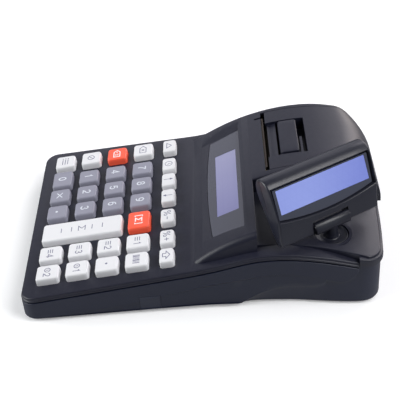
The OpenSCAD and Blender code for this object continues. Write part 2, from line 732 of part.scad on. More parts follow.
module upper_case() {
    color(deck_black) from_front() difference() {
        union() {
            difference() {
                intersection() {
                    upper_solid(0, 0);
                    difference() {
                        block([-case_w, case_w], [-5, case_l + 5], [-1, 70]);
                        below_split();
                    }
                }
                upper_solid(wall_t, -2);
            }
            // Printer bay and its right-hand cheek
            intersection() {
                printer_hump(wall_t - 0.5);
                union() {
                    paper_bay_walls();
                    block([printer_x + bay_half, hump_wall_x - 0.5],
                        [slot_front - 6, bay_rear + bay_wall], [printer_floor, 60]);
                }
            }
            // Right-hand hinge lug
            across(cover_right + fit_loose, hump_wall_x - 0.5) polygon(concat(
                [[bay_rear, rear_split_z], [bay_rear, 42]],
                [for (a = [60:-15:0]) [round_y + (round_r - 0.5) * cos(a),
                    round_z + (round_r - 0.5) * sin(a)]],
                [[round_y + round_r - 2.5, rear_split_z]]));
            // Left-hand hinge lug
            block([barrel_left - 0.4 - far_lug_w, barrel_left - 0.4],
                [bay_rear + bay_wall - 1, hinge_y], [rear_split_z - 2, hinge_z + 3.4]);
            rod(barrel_left - 0.4 - far_lug_w, barrel_left - 0.4, hinge_y, hinge_z,
                hinge_barrel_d);
            // Pan under the operator window
            intersection() {
                across(-60, 60) polygon(concat([[hump_start, 0]],
                    [for (i = [0:8]) let (y = lerp(hump_start, hump_wall_y, i / 8))
                        [y, hump_z(y) - 0.5]], [[hump_wall_y, 0]]));
                on_lens() translate([0, 0, -lens_t - touch_gap - pan_t])
                    linear_extrude(lens_t + touch_gap + pan_t) lens_outline(2.2);
            }
            // Bearing of the swivel
            translate([swivel_x, swivel_y, dish_z - spindle_l + clip_t + 0.6])
                cylinder(r = dish_r + 1.6, h = spindle_l + dish_depth - 2.2);
            // Screw bosses
            for (p = screw_spots()) translate([p[0], p[1], p[2]])
                cylinder(d = screw_boss_d, h = ledge_z(p[1]) - p[2] - wall_t + 0.5);
        }
        // Window and glass opening of the operator display
        on_lens() {
            translate([0, 0, -lens_t - touch_gap]) linear_extrude(20) lens_outline(fit_seat);
            translate([0, lens_l / 2, -10]) linear_extrude(20)
                square([glass_w + 4, glass_h + 1.6], center = true);
        }
        // Cover opening, with the tear-off slot in front of it
        intersection() {
            translate([0, 0, printer_floor]) linear_extrude(60) cover_plan(fit_loose);
            union() {
                paper_bay();
                block([printer_x - bay_half, printer_x + bay_half],
                    [hump_wall_y, bay_front + bay_wall + 1], [printer_floor, 70]);
                block([cover_left - 1, cover_right + 1], [slot_front, case_l + 5],
                    [cover_hem - fit_loose, 70]);
                block([barrel_left - 0.4, cover_right + fit_loose],
                    [bay_rear + bay_wall, case_l + 5], [rear_split_z - 3, 70]);
            }
        }
        block([cover_left - fit_loose, cover_right + fit_loose],
            [slot_front, cover_front + 1], [44, 70]);
        rod(barrel_left - 0.4, cover_right + fit_loose, hinge_y, hinge_z,
            2 * hinge_barrel_d);
        rod(hump_wall_x, hump_wall_x + pin_head_t + 0.6, hinge_y, hinge_z, pin_head_d + 1);
        // Pin holes
        rod(barrel_left - 0.4 - far_lug_w - 1, barrel_left, hinge_y, hinge_z, hinge_pin_d);
        rod(cover_right, hump_wall_x + 5, hinge_y, hinge_z, hinge_pin_d);
        // Swivel dish and bore
        translate([swivel_x, swivel_y, dish_z]) cylinder(r = dish_r, h = 20);
        translate([swivel_x, swivel_y, 0]) cylinder(d = spindle_d + 2 * fit_run, h = 60);
        for (p = screw_spots()) translate([p[0], p[1], 0])
            cylinder(d = screw_d + 0.2, h = p[2] + 5);
        translate([0, 0, front_h]) rotate([deck_tilt, 0, 0]) for (k = KEYS) key_hole(k);
    }
    // Posts that carry the main board
    color(deck_black) on_deck() for (p = board_posts)
        translate([p[0], p[1], -board_h]) cylinder(d = post_d, h = board_h - wall_t + 0.3);
}

// ---------- Keyboard ----------

module key(name) {
    k = [for (row = KEYS) if (row[0] == name) row][0];
    color(k[5]) on_deck() {
        translate([k[1], k[2], 0]) {
            translate([0, 0, -flange_h - 0.1]) linear_extrude(flange_h + 0.1 + key_rise - 0.7)
                rounded_plate(k[3], k[4], key_corner);
            linear_extrude(key_rise) rounded_plate(k[3] - 0.7, k[4] - 0.7, key_corner - 0.35);
            translate([0, 0, -flange_h - flange_t]) linear_extrude(flange_t)
                rounded_plate(k[3] + 2 * flange_out, k[4] + 2 * flange_out, key_corner);
        }
        for (s = stems(k))
            translate([s[0], s[1], -mat_h + key_travel + 0.3])
                cylinder(d = stem_d, h = mat_h - flange_h - key_travel);
    }
}

module keypad_mat() {
    color("#8a8d96") on_deck() difference() {
        union() {
            translate([0, 0, -board_h]) linear_extrude(mat_t)
                translate([col_a - 5.5, first_row - 7]) square([col_g - col_a + 11, row(5) + 7 - first_row + 5]);
            for (k = KEYS) for (s = stems(k))
                translate([s[0], s[1], -board_h]) cylinder(d = collar_d, h = mat_t + 2);
        }
        for (k = KEYS) for (s = stems(k))
            translate([s[0], s[1], -mat_h]) cylinder(d = stem_d + 1, h = 4);
        for (p = board_posts)
            translate([p[0], p[1], -board_h - 1]) cylinder(d = post_d + 0.6, h = 6);
    }
}

module main_board() {
    color("#2f5d3a") on_deck() translate([0, 0, -board_h - board_t]) {
        linear_extrude(board_t) difference() {
            union() {
                translate([col_a - 5.5, first_row - 7])
                    square([col_g - col_a + 11, row(5) + 10 - first_row]);
                translate([-side_post_x - 1.6, first_row + 1])
                    square([2 * side_post_x + 3.2, row(5) - first_row]);
            }
            for (k = [-1, 1])
                translate([k * front_screw[0], front_screw[1]]) circle(d = screw_boss_d + 0.6);
        }
        // Processor and driver chips on the underside
        for (p = [[-20, 40, 10, 10], [12, 44, 7, 12], [30, 62, 9, 7], [-34, 66, 6, 10]])
            translate([p[0], p[1], -1.2]) linear_extrude(1.2) square([p[2], p[3]]);
    }
}

// ---------- Inside the case ----------

module battery_pack() {
    color("#33507a") from_front()
        translate([-battery[0] / 2, battery_y, foot_h + wall_t]) cube(battery);
}

module rear_sockets() {
    color("#1f1f22") from_front() for (i = [0:2]) difference() {
        block([socket_x[i] - socket_w[i] / 2, socket_x[i] + socket_w[i] / 2],
            [socket_face(i) - socket_l, socket_face(i)],
            [socket_floor, socket_floor + socket_h[i]]);
        if (i == 0)
            translate([socket_x[i], case_l, socket_floor + socket_h[i] / 2])
                rotate([90, 0, 0]) cylinder(d = 5.5, h = case_l - socket_face(i) + 9);
        else
            block([socket_x[i] - socket_w[i] / 2 + 1.5, socket_x[i] + socket_w[i] / 2 - 1.5],
                [socket_face(i) - 9, case_l],
                [socket_floor + 1.6, socket_floor + socket_h[i] - 2]);
    }
}

module operator_lens() {
    color(lens_grey) from_front() on_lens()
        translate([0, 0, -lens_t]) linear_extrude(lens_t) lens_outline(0);
}

module operator_lcd() {
    color("#9696c0") from_front() on_lens()
        translate([0, lens_l / 2, -lens_t - touch_gap - pan_t]) {
            linear_extrude(pan_t - glass_seat)
                square([glass_w + 3.4, glass_h + 1], center = true);
            translate([0, 0, -lcd_t]) linear_extrude(lcd_t) square([lcd_w, lcd_h], center = true);
        }
}

// ---------- Printer ----------

module printer_cover() {
    color(deck_black) from_front() difference() {
        union() {
            difference() {
                intersection() {
                    printer_hump(0);
                    translate([0, 0, cover_hem]) linear_extrude(40) cover_plan(0);
                }
                printer_hump(cover_t);
            }
            // Hinge barrel and the web that joins it to the shell
            rod(barrel_left, cover_right, hinge_y, hinge_z, hinge_barrel_d);
            intersection() {
                printer_hump(0.3);
                across(barrel_left, cover_right) polygon([
                    [hinge_y - 2.6, hinge_z + 1], [hinge_y - 1.6, cover_hem + 8],
                    [case_l, cover_hem + 4], [case_l, cover_hem], [hinge_y + 2.6, hinge_z + 1]]);
            }
            // Cheeks that carry the platen
            for (x = [printer_x - cheek_out, printer_x + cheek_out - cheek_t]) {
                rod(x, x + cheek_t, platen_y, platen_z, 2 * cheek_r);
                block([x, x + cheek_t], [platen_y - cheek_r, platen_y + cheek_r],
                    [platen_z, hump_z(platen_y) - 1]);
            }
            // Bosses for the lever's trunnions
            for (x = [printer_x - window_w / 2 - lever_boss_w, printer_x + window_w / 2])
                block([x, x + lever_boss_w], [lever_pin_y - 2.2, lever_pin_y + 2.2],
                    [lever_pin_z - 2.2, hump_z(lever_pin_y) - 1]);
        }
        // Finger window
        block([printer_x - window_w / 2, printer_x + window_w / 2],
            [cover_front - 1, cover_front + window_l], [30, 70]);
        // Shaft and trunnion bores
        rod(cover_left - 1, cover_right + 1, platen_y, platen_z,
            platen_shaft_d + 2 * fit_run);
        rod(printer_x - window_w / 2 - lever_boss_w - 1,
            printer_x + window_w / 2 + lever_boss_w + 1, lever_pin_y, lever_pin_z,
            lever_pin_d + 2 * fit_run);
        rod(barrel_left - 1, cover_right + 1, hinge_y, hinge_z, hinge_pin_d + 2 * fit_run);
        // Room for the left-hand hinge lug
        block([cover_left - 1, barrel_left], [bay_rear, case_l + 2], [0, hinge_z + 5]);
    }
    // Apron under the window and the rib behind the lever
    color(deck_black) from_front() {
        across(printer_x - window_w / 2 - 0.5, printer_x + window_w / 2 + 0.5) polygon([
            [cover_front + 0.9, hump_z(cover_front) - 1.5],
            [lever_front - 0.5, hump_z(lever_front) - 1.8],
            [lever_front - 0.5, hump_z(lever_front) - 1.8 - apron_t],
            [cover_front + 0.9, hump_z(cover_front) - 1.5 - apron_t]]);
        block([printer_x + 0.7, printer_x + window_w / 2 + 0.5],
            [cover_front + window_l - 3.6, cover_front + window_l - 2.2],
            [hump_z(cover_front + window_l) - 4, hump_z(cover_front + window_l) - 1]);
    }
}

module cover_pins() {
    color(steel) from_front() {
        rod(cover_right - pin_grip, hump_wall_x + pin_head_t, hinge_y, hinge_z, hinge_pin_d);
        rod(hump_wall_x, hump_wall_x + pin_head_t, hinge_y, hinge_z, pin_head_d);
        rod(barrel_left - 0.4 - far_lug_w, barrel_left + pin_grip, hinge_y, hinge_z,
            hinge_pin_d);
    }
}

module release_lever() {
    color(deck_black) from_front() {
        across(printer_x - lever_w / 2, printer_x + lever_w / 2) polygon(concat(
            [for (i = [0:4]) let (y = lever_front + lever_l * i / 4)
                [y, hump_z(y) + lever_rise]],
            [for (i = [4:-1:0]) let (y = lever_front + lever_l * i / 4)
                [y, hump_z(y) + lever_rise - lever_t]]));
        rod(printer_x - window_w / 2 - lever_boss_w + 0.2,
            printer_x + window_w / 2 + lever_boss_w - 0.2, lever_pin_y, lever_pin_z,
            lever_pin_d);
    }
}

module tear_bar() {
    bar_y = [slot_front + 0.5, slot_front + 0.5 + tear_bar_t];
    color(metal) from_front()
        block([printer_x - tear_bar_w / 2, printer_x + tear_bar_w / 2], bar_y,
            [platen_z + 3.8, hump_z(slot_front) + 0.2]);
}

module printer_frame() {
    back = head_face_y - head_plate_t;
    color(steel) from_front() difference() {
        union() {
            block([printer_x - plate_out, printer_x + plate_out],
                [back - frame_t, platen_y + 6.5], [printer_floor, printer_floor + frame_t]);
            block([printer_x - plate_out, printer_x + plate_out], [back - frame_t, back],
                [printer_floor, platen_z + 3.8]);
            for (x = [printer_x - plate_out, printer_x + plate_out - plate_t])
                block([x, x + plate_t], [back - frame_t, platen_y + 6.5],
                    [printer_floor, platen_z + 3]);
            block([bracket_x, bracket_x + 1], [drive_y - 5.4, drive_y + 5.4],
                [printer_floor, platen_z - platen_d / 2 - 0.5]);
        }
        rod(bracket_x - 1, bracket_x + 2, drive_y, drive_z, motor_shaft_d + 1);
    }
}

module print_head() {
    color("#c9b98a") from_front()
        block(platen_x, [head_face_y - head_plate_t, head_face_y], [platen_z - 5, platen_z + 3.6]);
}

// Toothed wheel along X, with one tooth toward the given direction
module toothed_wheel(x, y, z, w, toward) {
    root = gear_r - 1.2 * gear_module;
    tip = gear_r + 0.85 * gear_module;
    step = 360 / gear_teeth;
    translate([x, y, z]) rotate([90, 0, 90]) linear_extrude(w)
        polygon([for (i = [0:gear_teeth - 1]) for (c = [[-0.27, root], [-0.12, tip],
            [0.12, tip], [0.27, root]]) let (a = toward + step * (i + c[0]))
            [c[1] * cos(a), c[1] * sin(a)]]);
}

module platen_roller() {
    color("#2a2a2d") from_front() {
        rod(platen_x[0], platen_x[1], platen_y, platen_z, platen_d);
        rod(printer_x - cheek_out - 0.1, printer_x + cheek_out + 0.1, platen_y, platen_z,
            platen_shaft_d);
        toothed_wheel(gear_x, platen_y, platen_z, gear_w, drive_angle);
    }
}

module drive_gear() {
    color("#e6e2d4") from_front() difference() {
        toothed_wheel(gear_x, drive_y, drive_z, gear_w, drive_angle - 180 + 180 / gear_teeth);
        rod(gear_x - 1, gear_x + gear_w + 1, drive_y, drive_z, motor_shaft_d + 2 * fit_run);
    }
}

module stepper_motor() {
    color(steel) from_front() {
        rod(bracket_x + 1, bracket_x + 1 + motor_l, drive_y, drive_z, motor_d);
        rod(gear_x - 0.3, bracket_x + 2, drive_y, drive_z, motor_shaft_d);
    }
}

module paper_roll() {
    color("#f4f2ea") from_front() difference() {
        rod(printer_x - roll_w / 2, printer_x + roll_w / 2, roll_y, roll_z, roll_d);
        rod(printer_x - roll_w, printer_x + roll_w, roll_y, roll_z, core_d);
    }
}

// ---------- Customer display ----------

module swivel_post() {
    color(gloss_black) from_front() difference() {
        union() {
            translate([swivel_x, swivel_y, dish_z + touch_gap])
                cylinder(r = dish_r - 0.6, h = disc_t);
            translate([swivel_x, swivel_y, dish_z - spindle_l])
                cylinder(d = spindle_d, h = spindle_l + 1);
            translate([swivel_x, swivel_y, dish_z + 0.5])
                cylinder(d = neck_d, h = post_h - 0.5);
            translate([swivel_x, swivel_y, tilt_z]) rotate([0, 0, head_yaw])
                rotate([90, 0, 0]) cylinder(d = knuckle_d, h = knuckle_w, center = true);
        }
        translate([swivel_x, swivel_y, tilt_z]) rotate([0, 0, head_yaw])
            rotate([90, 0, 0])
                cylinder(d = tilt_pin_d + 2 * fit_run, h = knuckle_w + 2, center = true);
        translate([swivel_x, swivel_y, dish_z - spindle_l + 0.6]) difference() {
            cylinder(d = spindle_d + 2, h = clip_t);
            translate([0, 0, -1]) cylinder(d = spindle_d - 2, h = clip_t + 2);
        }
    }
    // Spring clip under the bearing
    color(steel) from_front()
        translate([swivel_x, swivel_y, dish_z - spindle_l + 0.6 + touch_gap]) difference() {
            cylinder(d = spindle_d + 2 * clip_out, h = clip_t - 2 * touch_gap);
            translate([0, 0, -1]) cylinder(d = spindle_d - 1.8, h = clip_t + 2);
        }
}

// Side profile of the head: X is the depth behind the face, Y the height
function head_profile(t) = [
    [-t, face_bottom + t], [-t, face_top - 1.6 - t / 2], [-1.6 - t / 2, face_top - t],
    [-5, face_top + 1.2 - t], [-head_d + 4.4, face_top + 1.3 - t],
    [-head_d + 1.3 + t / 2, face_top + 0.1 - t], [-head_d + t, face_top - 3.2],
    [-head_d + 0.4 + t, 22], [-head_d + 3.5 + t, 9], [-6.5 + t * 0.6, face_bottom + 0.9 + t]];

module head_solid(t) {
    intersection() {
        // Face outline with rounded corners
        translate([0, (face_bottom + face_top + 1.6) / 2, -head_d - 1]) linear_extrude(head_d + 2)
            rounded_plate(head_w - 2 * t, face_top + 1.6 - face_bottom - 2 * t,
                max(0.6, head_corner - t));
        rotate([0, -90, 0]) linear_extrude(head_w, center = true)
            polygon([for (p = head_profile(t)) p]);
        // Ends drawn in behind the face
        rotate([-90, 0, 0]) linear_extrude(100, center = true) polygon([
            [head_w / 2 - t, 0], [head_w / 2 - t, head_d - 3], [head_w / 2 - 3 - t, head_d],
            [-head_w / 2 + 3 + t, head_d], [-head_w / 2 + t, head_d - 3],
            [-head_w / 2 + t, 0]]);
    }
}

module head_notch() {
    translate([-knuckle_w / 2 - notch_gap, face_bottom - 5, -head_d - 1])
        cube([knuckle_w + 2 * notch_gap, notch_h + 5 - face_bottom, head_d + 5]);
    rotate([0, 90, 0])
        cylinder(d = knuckle_d + 2 * notch_gap, h = knuckle_w + 2 * notch_gap, center = true);
}

module head_lens_outline(gap) {
    half = head_lens_w / 2 + gap;
    polygon(concat([[half, head_lens_top + gap], [-half, head_lens_top + gap]],
        [for (i = [-6:6]) [half * i / 6,
            head_lens_bottom - gap - head_lens_bow * (1 - pow(i / 6, 2))]]));
}

// Solid lugs beside the notch that grip the tilt pin
module head_lugs() {
    for (k = [-1, 1]) translate([k * (knuckle_w / 2 + notch_gap + 2), 0, -3])
        cube([4, 7.4, 6], center = true);
}

module head_cavity() {
    difference() {
        head_solid(head_wall);
        head_lugs();
        translate([-knuckle_w / 2 - notch_gap - head_wall, face_bottom - 5, -head_d - 1])
            cube([knuckle_w + 2 * (notch_gap + head_wall),
                notch_h + head_wall + 5 - face_bottom, head_d + 5]);
    }
}

module pin_bore() {
    rotate([0, 90, 0]) cylinder(d = tilt_pin_d, h = knuckle_w + 2 * (notch_gap + 4), center = true);
}

module head_front_shell() {
    color(gloss_black) on_head() difference() {
        intersection() {
            head_solid(0);
            translate([-head_w, -50, -head_seam]) cube([2 * head_w, 100, head_seam + 5]);
        }
        head_cavity();
        head_notch();
        pin_bore();
        translate([0, 0, -lens_t - touch_gap]) linear_extrude(10) head_lens_outline(fit_seat);
        translate([0, head_glass_b, -10]) linear_extrude(20)
            square([glass_w + 4, glass_h + 1.4], center = true);
    }
}

module head_rear_shell() {
    color(gloss_black) on_head() difference() {
        intersection() {
            head_solid(0);
            translate([-head_w, -50, -head_d - 1]) cube([2 * head_w, 100, head_d + 1 - head_seam]);
        }
        head_cavity();
        head_notch();
        pin_bore();
    }
}

module head_lens() {
    color(lens_grey) on_head() translate([0, 0, -lens_t]) linear_extrude(lens_t - touch_gap)
        head_lens_outline(0);
}

module head_lcd() {
    back = head_wall + 1.6;
    color("#7d84d0") on_head() translate([0, head_glass_b, 0]) {
        translate([0, 0, -back]) linear_extrude(back - lens_t - 0.2)
            square([glass_w + 3, glass_h + 0.8], center = true);
        translate([0, 0, -back - 4]) linear_extrude(4.01)
            square([glass_w + 3, glass_h + 4], center = true);
    }
}

module tilt_pin() {
    color(steel) on_head() rotate([0, 90, 0])
        cylinder(d = tilt_pin_d, h = knuckle_w + 2 * (notch_gap + 3.6), center = true);
}

// ---------- The part ----------

lower_case();
upper_case();
side_port_cover();
rubber_feet();
case_screws();
keypad_mat();
main_board();
battery_pack();
rear_sockets();
operator_lens();
operator_lcd();
printer_cover();
cover_pins();
release_lever();
tear_bar();
printer_frame();
print_head();
platen_roller();
drive_gear();
stepper_motor();
paper_roll();
swivel_post();
head_front_shell();
head_rear_shell();
head_lens();
head_lcd();
tilt_pin();
key("key_price_lookup");  // key_price_lookup
key("key_0");  // key_0
key("key_multiply");  // key_multiply
key("key_point");  // key_point
key("key_total");  // key_total
key("key_dept_4");  // key_dept_4
key("key_pay_2");  // key_pay_2
key("key_void");  // key_void
key("key_1");  // key_1
key("key_2");  // key_2
key("key_3");  // key_3
key("key_dept_3");  // key_dept_3
key("key_pay_1");  // key_pay_1
key("key_price");  // key_price
key("key_4");  // key_4
key("key_5");  // key_5
key("key_6");  // key_6
key("key_dept_2");  // key_dept_2
key("key_dot");  // key_dot
key("key_clear");  // key_clear
key("key_7");  // key_7
key("key_8");  // key_8
key("key_9");  // key_9
key("key_subtotal");  // key_subtotal
key("key_dept_1");  // key_dept_1
key("key_barcode");  // key_barcode
key("key_feed");  // key_feed
key("key_clock");  // key_clock
key("key_up");  // key_up
key("key_down");  // key_down
key("key_minus_percent");  // key_minus_percent
key("key_plus_percent");  // key_plus_percent
key("key_shift");  // key_shift
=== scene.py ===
"""The looks of a compact ticket register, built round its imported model.

Shapes are worked out in millimetres from the case's front edge, with X to the
operator's right, Y toward the customer and Z up, and are turned into metres when
a piece is finished.
"""

from math import asin, cos, hypot, pi, radians, sin, sqrt, tan, tau

import bmesh
import bpy
from mathutils import Matrix, Vector


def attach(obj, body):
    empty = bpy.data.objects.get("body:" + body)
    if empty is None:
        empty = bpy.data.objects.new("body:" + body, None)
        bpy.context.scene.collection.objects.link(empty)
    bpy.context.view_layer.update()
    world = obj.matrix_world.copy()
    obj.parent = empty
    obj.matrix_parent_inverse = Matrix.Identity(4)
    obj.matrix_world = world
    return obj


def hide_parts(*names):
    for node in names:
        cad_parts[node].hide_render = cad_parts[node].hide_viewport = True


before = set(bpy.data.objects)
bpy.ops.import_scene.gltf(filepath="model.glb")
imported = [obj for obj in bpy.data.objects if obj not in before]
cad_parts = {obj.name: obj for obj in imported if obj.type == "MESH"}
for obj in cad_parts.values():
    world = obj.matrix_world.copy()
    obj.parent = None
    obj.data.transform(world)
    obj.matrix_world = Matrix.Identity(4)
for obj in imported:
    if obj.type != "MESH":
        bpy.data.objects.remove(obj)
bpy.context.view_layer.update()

MM = 0.001

# ---------- Sizes of the case ----------

CASE_L = 201.0
CASE_HALF, WAIST_HALF, REAR_HALF = 67.7, 63.7, 66.5
WAIST_Y, SHOULDER_Y = 100.0, 184.0
FRONT_CORNER_R, REAR_CORNER_R = 8.0, 12.0
REAR_STEP, REAR_BOW = 2.5, 4.5
FRONT_H, FOOT_H, RIM_H = 16.0, 1.5, 3.2
DECK_TILT = radians(7)
WALL_T = 2.0
LEDGE_W, LEDGE_END = 5.0, 181.5
SPLIT_GROOVE = 0.5          # half the groove between the two halves of the case
GROOVE_RUN = 9.5            # the parting line drops to the rear over this length
ABOVE, PAST_REAR = 70.0, CASE_L + 5         # beyond all of the model, for what cuts through


def lerp(a, b, t):
    return a + (b - a) * t


def clamp(t):
    return min(1.0, max(0.0, t))


def about(middle, half):
    return middle - half, middle + half


def wider(span, gap):
    """A span with a gap added at both its ends."""
    return span[0] - gap, span[1] + gap


def along(table, at):
    """The value of a table of (place, value) rows at a place, held at both ends."""
    for (p, a), (q, b) in zip(table, table[1:]):
        if at <= q:
            return lerp(a, b, clamp((at - p) / (q - p)))
    return table[-1][1]


def smooth_along(table, at):
    """Like along(), but eased through the rows so that the line has no corners."""
    last = len(table) - 1
    if at <= table[0][0] or at >= table[last][0]:
        return table[0 if at <= table[0][0] else last][1]
    i = max(k for k in range(last) if table[k][0] <= at)
    slope = []
    for k in (i, i + 1):
        (p, a), (q, b) = table[max(k - 1, 0)], table[min(k + 1, last)]
        slope.append((b - a) / (q - p))
    (p, a), (q, b) = table[i], table[i + 1]
    w, t = q - p, (at - p) / (q - p)
    return (a * (2 * t**3 - 3 * t**2 + 1) + b * (3 * t**2 - 2 * t**3)
            + slope[0] * w * (t**3 - 2 * t**2 + t) + slope[1] * w * (t**3 - t**2))


def side_x(y):
    if y < WAIST_Y:
        return lerp(CASE_HALF, WAIST_HALF, y / WAIST_Y)
    t = clamp((y - WAIST_Y) / (SHOULDER_Y - WAIST_Y))
    return lerp(WAIST_HALF, REAR_HALF, (1 - cos(pi * t)) / 2)


def rear_y(x):
    return CASE_L - REAR_STEP - REAR_BOW * (x / REAR_HALF) ** 2


def deck_z(y):
    return FRONT_H + y * tan(DECK_TILT)


def bezier(p, n):
    rows = []
    for i in range(1, n + 1):
        t, u = i / n, 1 - i / n
        w = (u**3, 3 * u * u * t, 3 * u * t * t, t**3)
        rows.append(tuple(sum(w[k] * p[k][c] for k in range(4)) for c in (0, 1)))
    return rows


SPLIT_START = (92.0, deck_z(92) - RIM_H)
CREST = (141.0, SPLIT_START[1] + 9.4)
SPLIT_END = (LEDGE_END, CREST[1] - 6.9)
REAR_SPLIT_Z = CREST[1] - 7.4
FLANK_LINE = (
    [(-10.0, deck_z(-10) - RIM_H), SPLIT_START]
    + bezier([SPLIT_START, (SPLIT_START[0] + 22, SPLIT_START[1] + 22 * tan(DECK_TILT)),
              (CREST[0] - 20, CREST[1]), CREST], 24)
    + bezier([CREST, (CREST[0] + 14, CREST[1]),
              (SPLIT_END[0] - 11.5, SPLIT_END[1] + 3.4), SPLIT_END], 18))


def split_z(y):
    """Height of the line where the two halves of the case part."""
    if y <= LEDGE_END:
        return along(FLANK_LINE, y)
    return along([SPLIT_END, (LEDGE_END + 0.3, SPLIT_END[1] + 2.4),
                  (LEDGE_END + GROOVE_RUN, REAR_SPLIT_Z), (CASE_L + 10, REAR_SPLIT_Z)], y)


def ledge_z(y):
    """Height of the ledge beside the hump, and of the deck in front of it."""
    return along(FLANK_LINE, min(y, LEDGE_END)) + RIM_H


# ---------- Sizes of the hump and the shelf ----------

HUMP_TOP, HUMP_R, HUMP_PEAK_Y = 51.5, 113.0, 164.0
HUMP_START, HUMP_WALL_Y, HUMP_WALL_X = 90.0, 128.7, 9.5
HUMP_LEAN = 0.16
HUMP_FOOT = 2.0             # every part of the upper form starts at or below this height
NEAR_EDGE_R = 3.6
FAR_EDGE = [(150.0, 2.4), (162.0, 2.6), (172.0, 3.1), (182.0, 4.0)]    # radius along the hump
ROUND_START = 182.0
BEND_START, BEND_W, BEND_TOP, BEND_LOW = 158.0, 30.0, 4.5, 23.0
SHELF_H, SHELF_CREST, SHELF_R = 36.8, 150.0, 175.0
SHELF_EDGE = [(HUMP_WALL_Y - 3, 9), (144, 9), (153, 8.4), (164, 6.7), (178, 3.7), (185, 2.4)]


def hump_z(y):
    return HUMP_TOP - HUMP_R + sqrt(HUMP_R**2 - (y - HUMP_PEAK_Y) ** 2)


# The hump's rear end carries on from its arch, in a smaller arc down to the base
ROUND_FALL = asin((ROUND_START - HUMP_PEAK_Y) / HUMP_R)
ROUND_R = (CASE_L - ROUND_START) / (1 - sin(ROUND_FALL))
ROUND_Y = ROUND_START - ROUND_R * sin(ROUND_FALL)
ROUND_Z = hump_z(ROUND_START) - ROUND_R * cos(ROUND_FALL)


def hump_side(y):
    return side_x(y) - LEDGE_W


def shelf_z(y):
    if y < SHELF_CREST:
        return SHELF_H
    return SHELF_H - SHELF_R + sqrt(SHELF_R**2 - (y - SHELF_CREST) ** 2)


# ---------- Making and joining solids ----------


def linked(obj):
    bpy.context.scene.collection.objects.link(obj)
    return obj


def new_object(name, points, faces):
    mesh = bpy.data.meshes.new(name)
    mesh.from_pydata([tuple(p) for p in points], [], faces)
    return linked(bpy.data.objects.new(name, mesh))


def settle(obj, weld):
    """Turns every face outward, and first merges doubled points if weld is set."""
    work = bmesh.new()
    work.from_mesh(obj.data)
    if weld:
        bmesh.ops.remove_doubles(work, verts=work.verts, dist=1e-5)
        bmesh.ops.dissolve_degenerate(work, edges=work.edges, dist=1e-6)
    bmesh.ops.recalc_face_normals(work, faces=work.faces)
    if weld and work.calc_volume(signed=True) < 0:
        bmesh.ops.reverse_faces(work, faces=work.faces)
    work.to_mesh(obj.data)
    work.free()
    return obj


def solid(points, faces):
    obj = new_object("solid", points, faces)
    obj.data.validate()
    return settle(obj, True)


def rings(rows, ends="face"):
    """A closed solid through rings of equally many points.

    Its ends are one face each, or strips between opposite points, so that a bent
    end lies smooth.
    """
    n, faces = len(rows[0]), []
    for j in range(len(rows) - 1):
        for i in range(n):
            k = (i + 1) % n
            faces.append((j * n + i, j * n + k, (j + 1) * n + k, (j + 1) * n + i))
    last = (len(rows) - 1) * n
    if ends == "strips":
        strips = [(i, i + 1, n - 2 - i, n - 1 - i) for i in range(n // 2 - 1)]
        faces += [strip[::-1] for strip in strips]
        faces += [tuple(last + i for i in strip) for strip in strips]
    else:
        faces += [tuple(range(n - 1, -1, -1)), tuple(range(last, last + n))]
    return solid([p for row in rows for p in row], faces)


def box(x, y, z):
    """A plain block, used to cut with or to join on."""
    corners = [(i, j, k) for k in z for j in y for i in x]
    return solid(corners, [(0, 2, 3, 1), (4, 5, 7, 6), (0, 1, 5, 4),
                           (2, 6, 7, 3), (0, 4, 6, 2), (1, 3, 7, 5)])


def across(x0, x1, outline):
    """Pulls a side outline, given as Y and Z, from x0 to x1."""
    return rings([[(x, y, z) for y, z in outline] for x in (x0, x1)])


def upright(outline, z0, z1):
    """Pulls a plan outline, given as X and Y, from z0 up to z1."""
    return rings([at_height(outline, z) for z in (z0, z1)])


def at_height(outline, z):
    return [(x, y, z) for x, y in outline]


def arc(cx, cy, rx, ry, start, end, n=14):
    return [(cx + rx * cos(radians(lerp(start, end, i / n))),
             cy + ry * sin(radians(lerp(start, end, i / n)))) for i in range(n + 1)]


def circle(cx, cy, r, n=48):
    return [(cx + r * cos(tau * i / n), cy + r * sin(tau * i / n)) for i in range(n)]


def quarter(n):
    """How far in and down a rounded edge of radius 1 has come, from its side to its top."""
    return [(1 - cos(pi / 2 * i / n), 1 - sin(pi / 2 * i / n)) for i in range(n + 1)]


def rounded_outline(w, l, r, steps=6, cx=0.0, cy=0.0):
    points = []
    for sx, sy, turn in ((1, -1, 3), (1, 1, 0), (-1, 1, 1), (-1, -1, 2)):
        for i in range(steps + 1):
            a = pi / 2 * (turn + i / steps)
            points.append((cx + sx * (w / 2 - r) + r * cos(a), cy + sy * (l / 2 - r) + r * sin(a)))
    return points


def rod(x0, x1, y, z, r, n=48):
    return across(x0, x1, circle(y, z, r, n))


def pillar(x, y, z0, z1, r, n=48):
    return upright(circle(x, y, r, n), z0, z1)


def moved(obj, *steps):
    for matrix in steps:
        obj.data.transform(matrix)
    return obj


def operate(base, tools, how):
    """Joins, cuts or trims base with each tool, and throws the tools away."""
    for tool in tools:
        step = base.modifiers.new("step", "BOOLEAN")
        step.operation, step.solver, step.object = how, "MANIFOLD", tool
    bpy.context.view_layer.update()
    graph = bpy.context.evaluated_depsgraph_get()
    made = bpy.data.meshes.new_from_object(base.evaluated_get(graph))
    base.modifiers.clear()
    old, base.data = base.data, made
    for mesh in [old] + [tool.data for tool in tools]:
        bpy.data.meshes.remove(mesh)
    return base


def join(base, *tools):
    return operate(base, tools, "UNION")


def cut(base, *tools):
    return operate(base, tools, "DIFFERENCE")


def trim(base, *tools):
    return operate(base, tools, "INTERSECT")


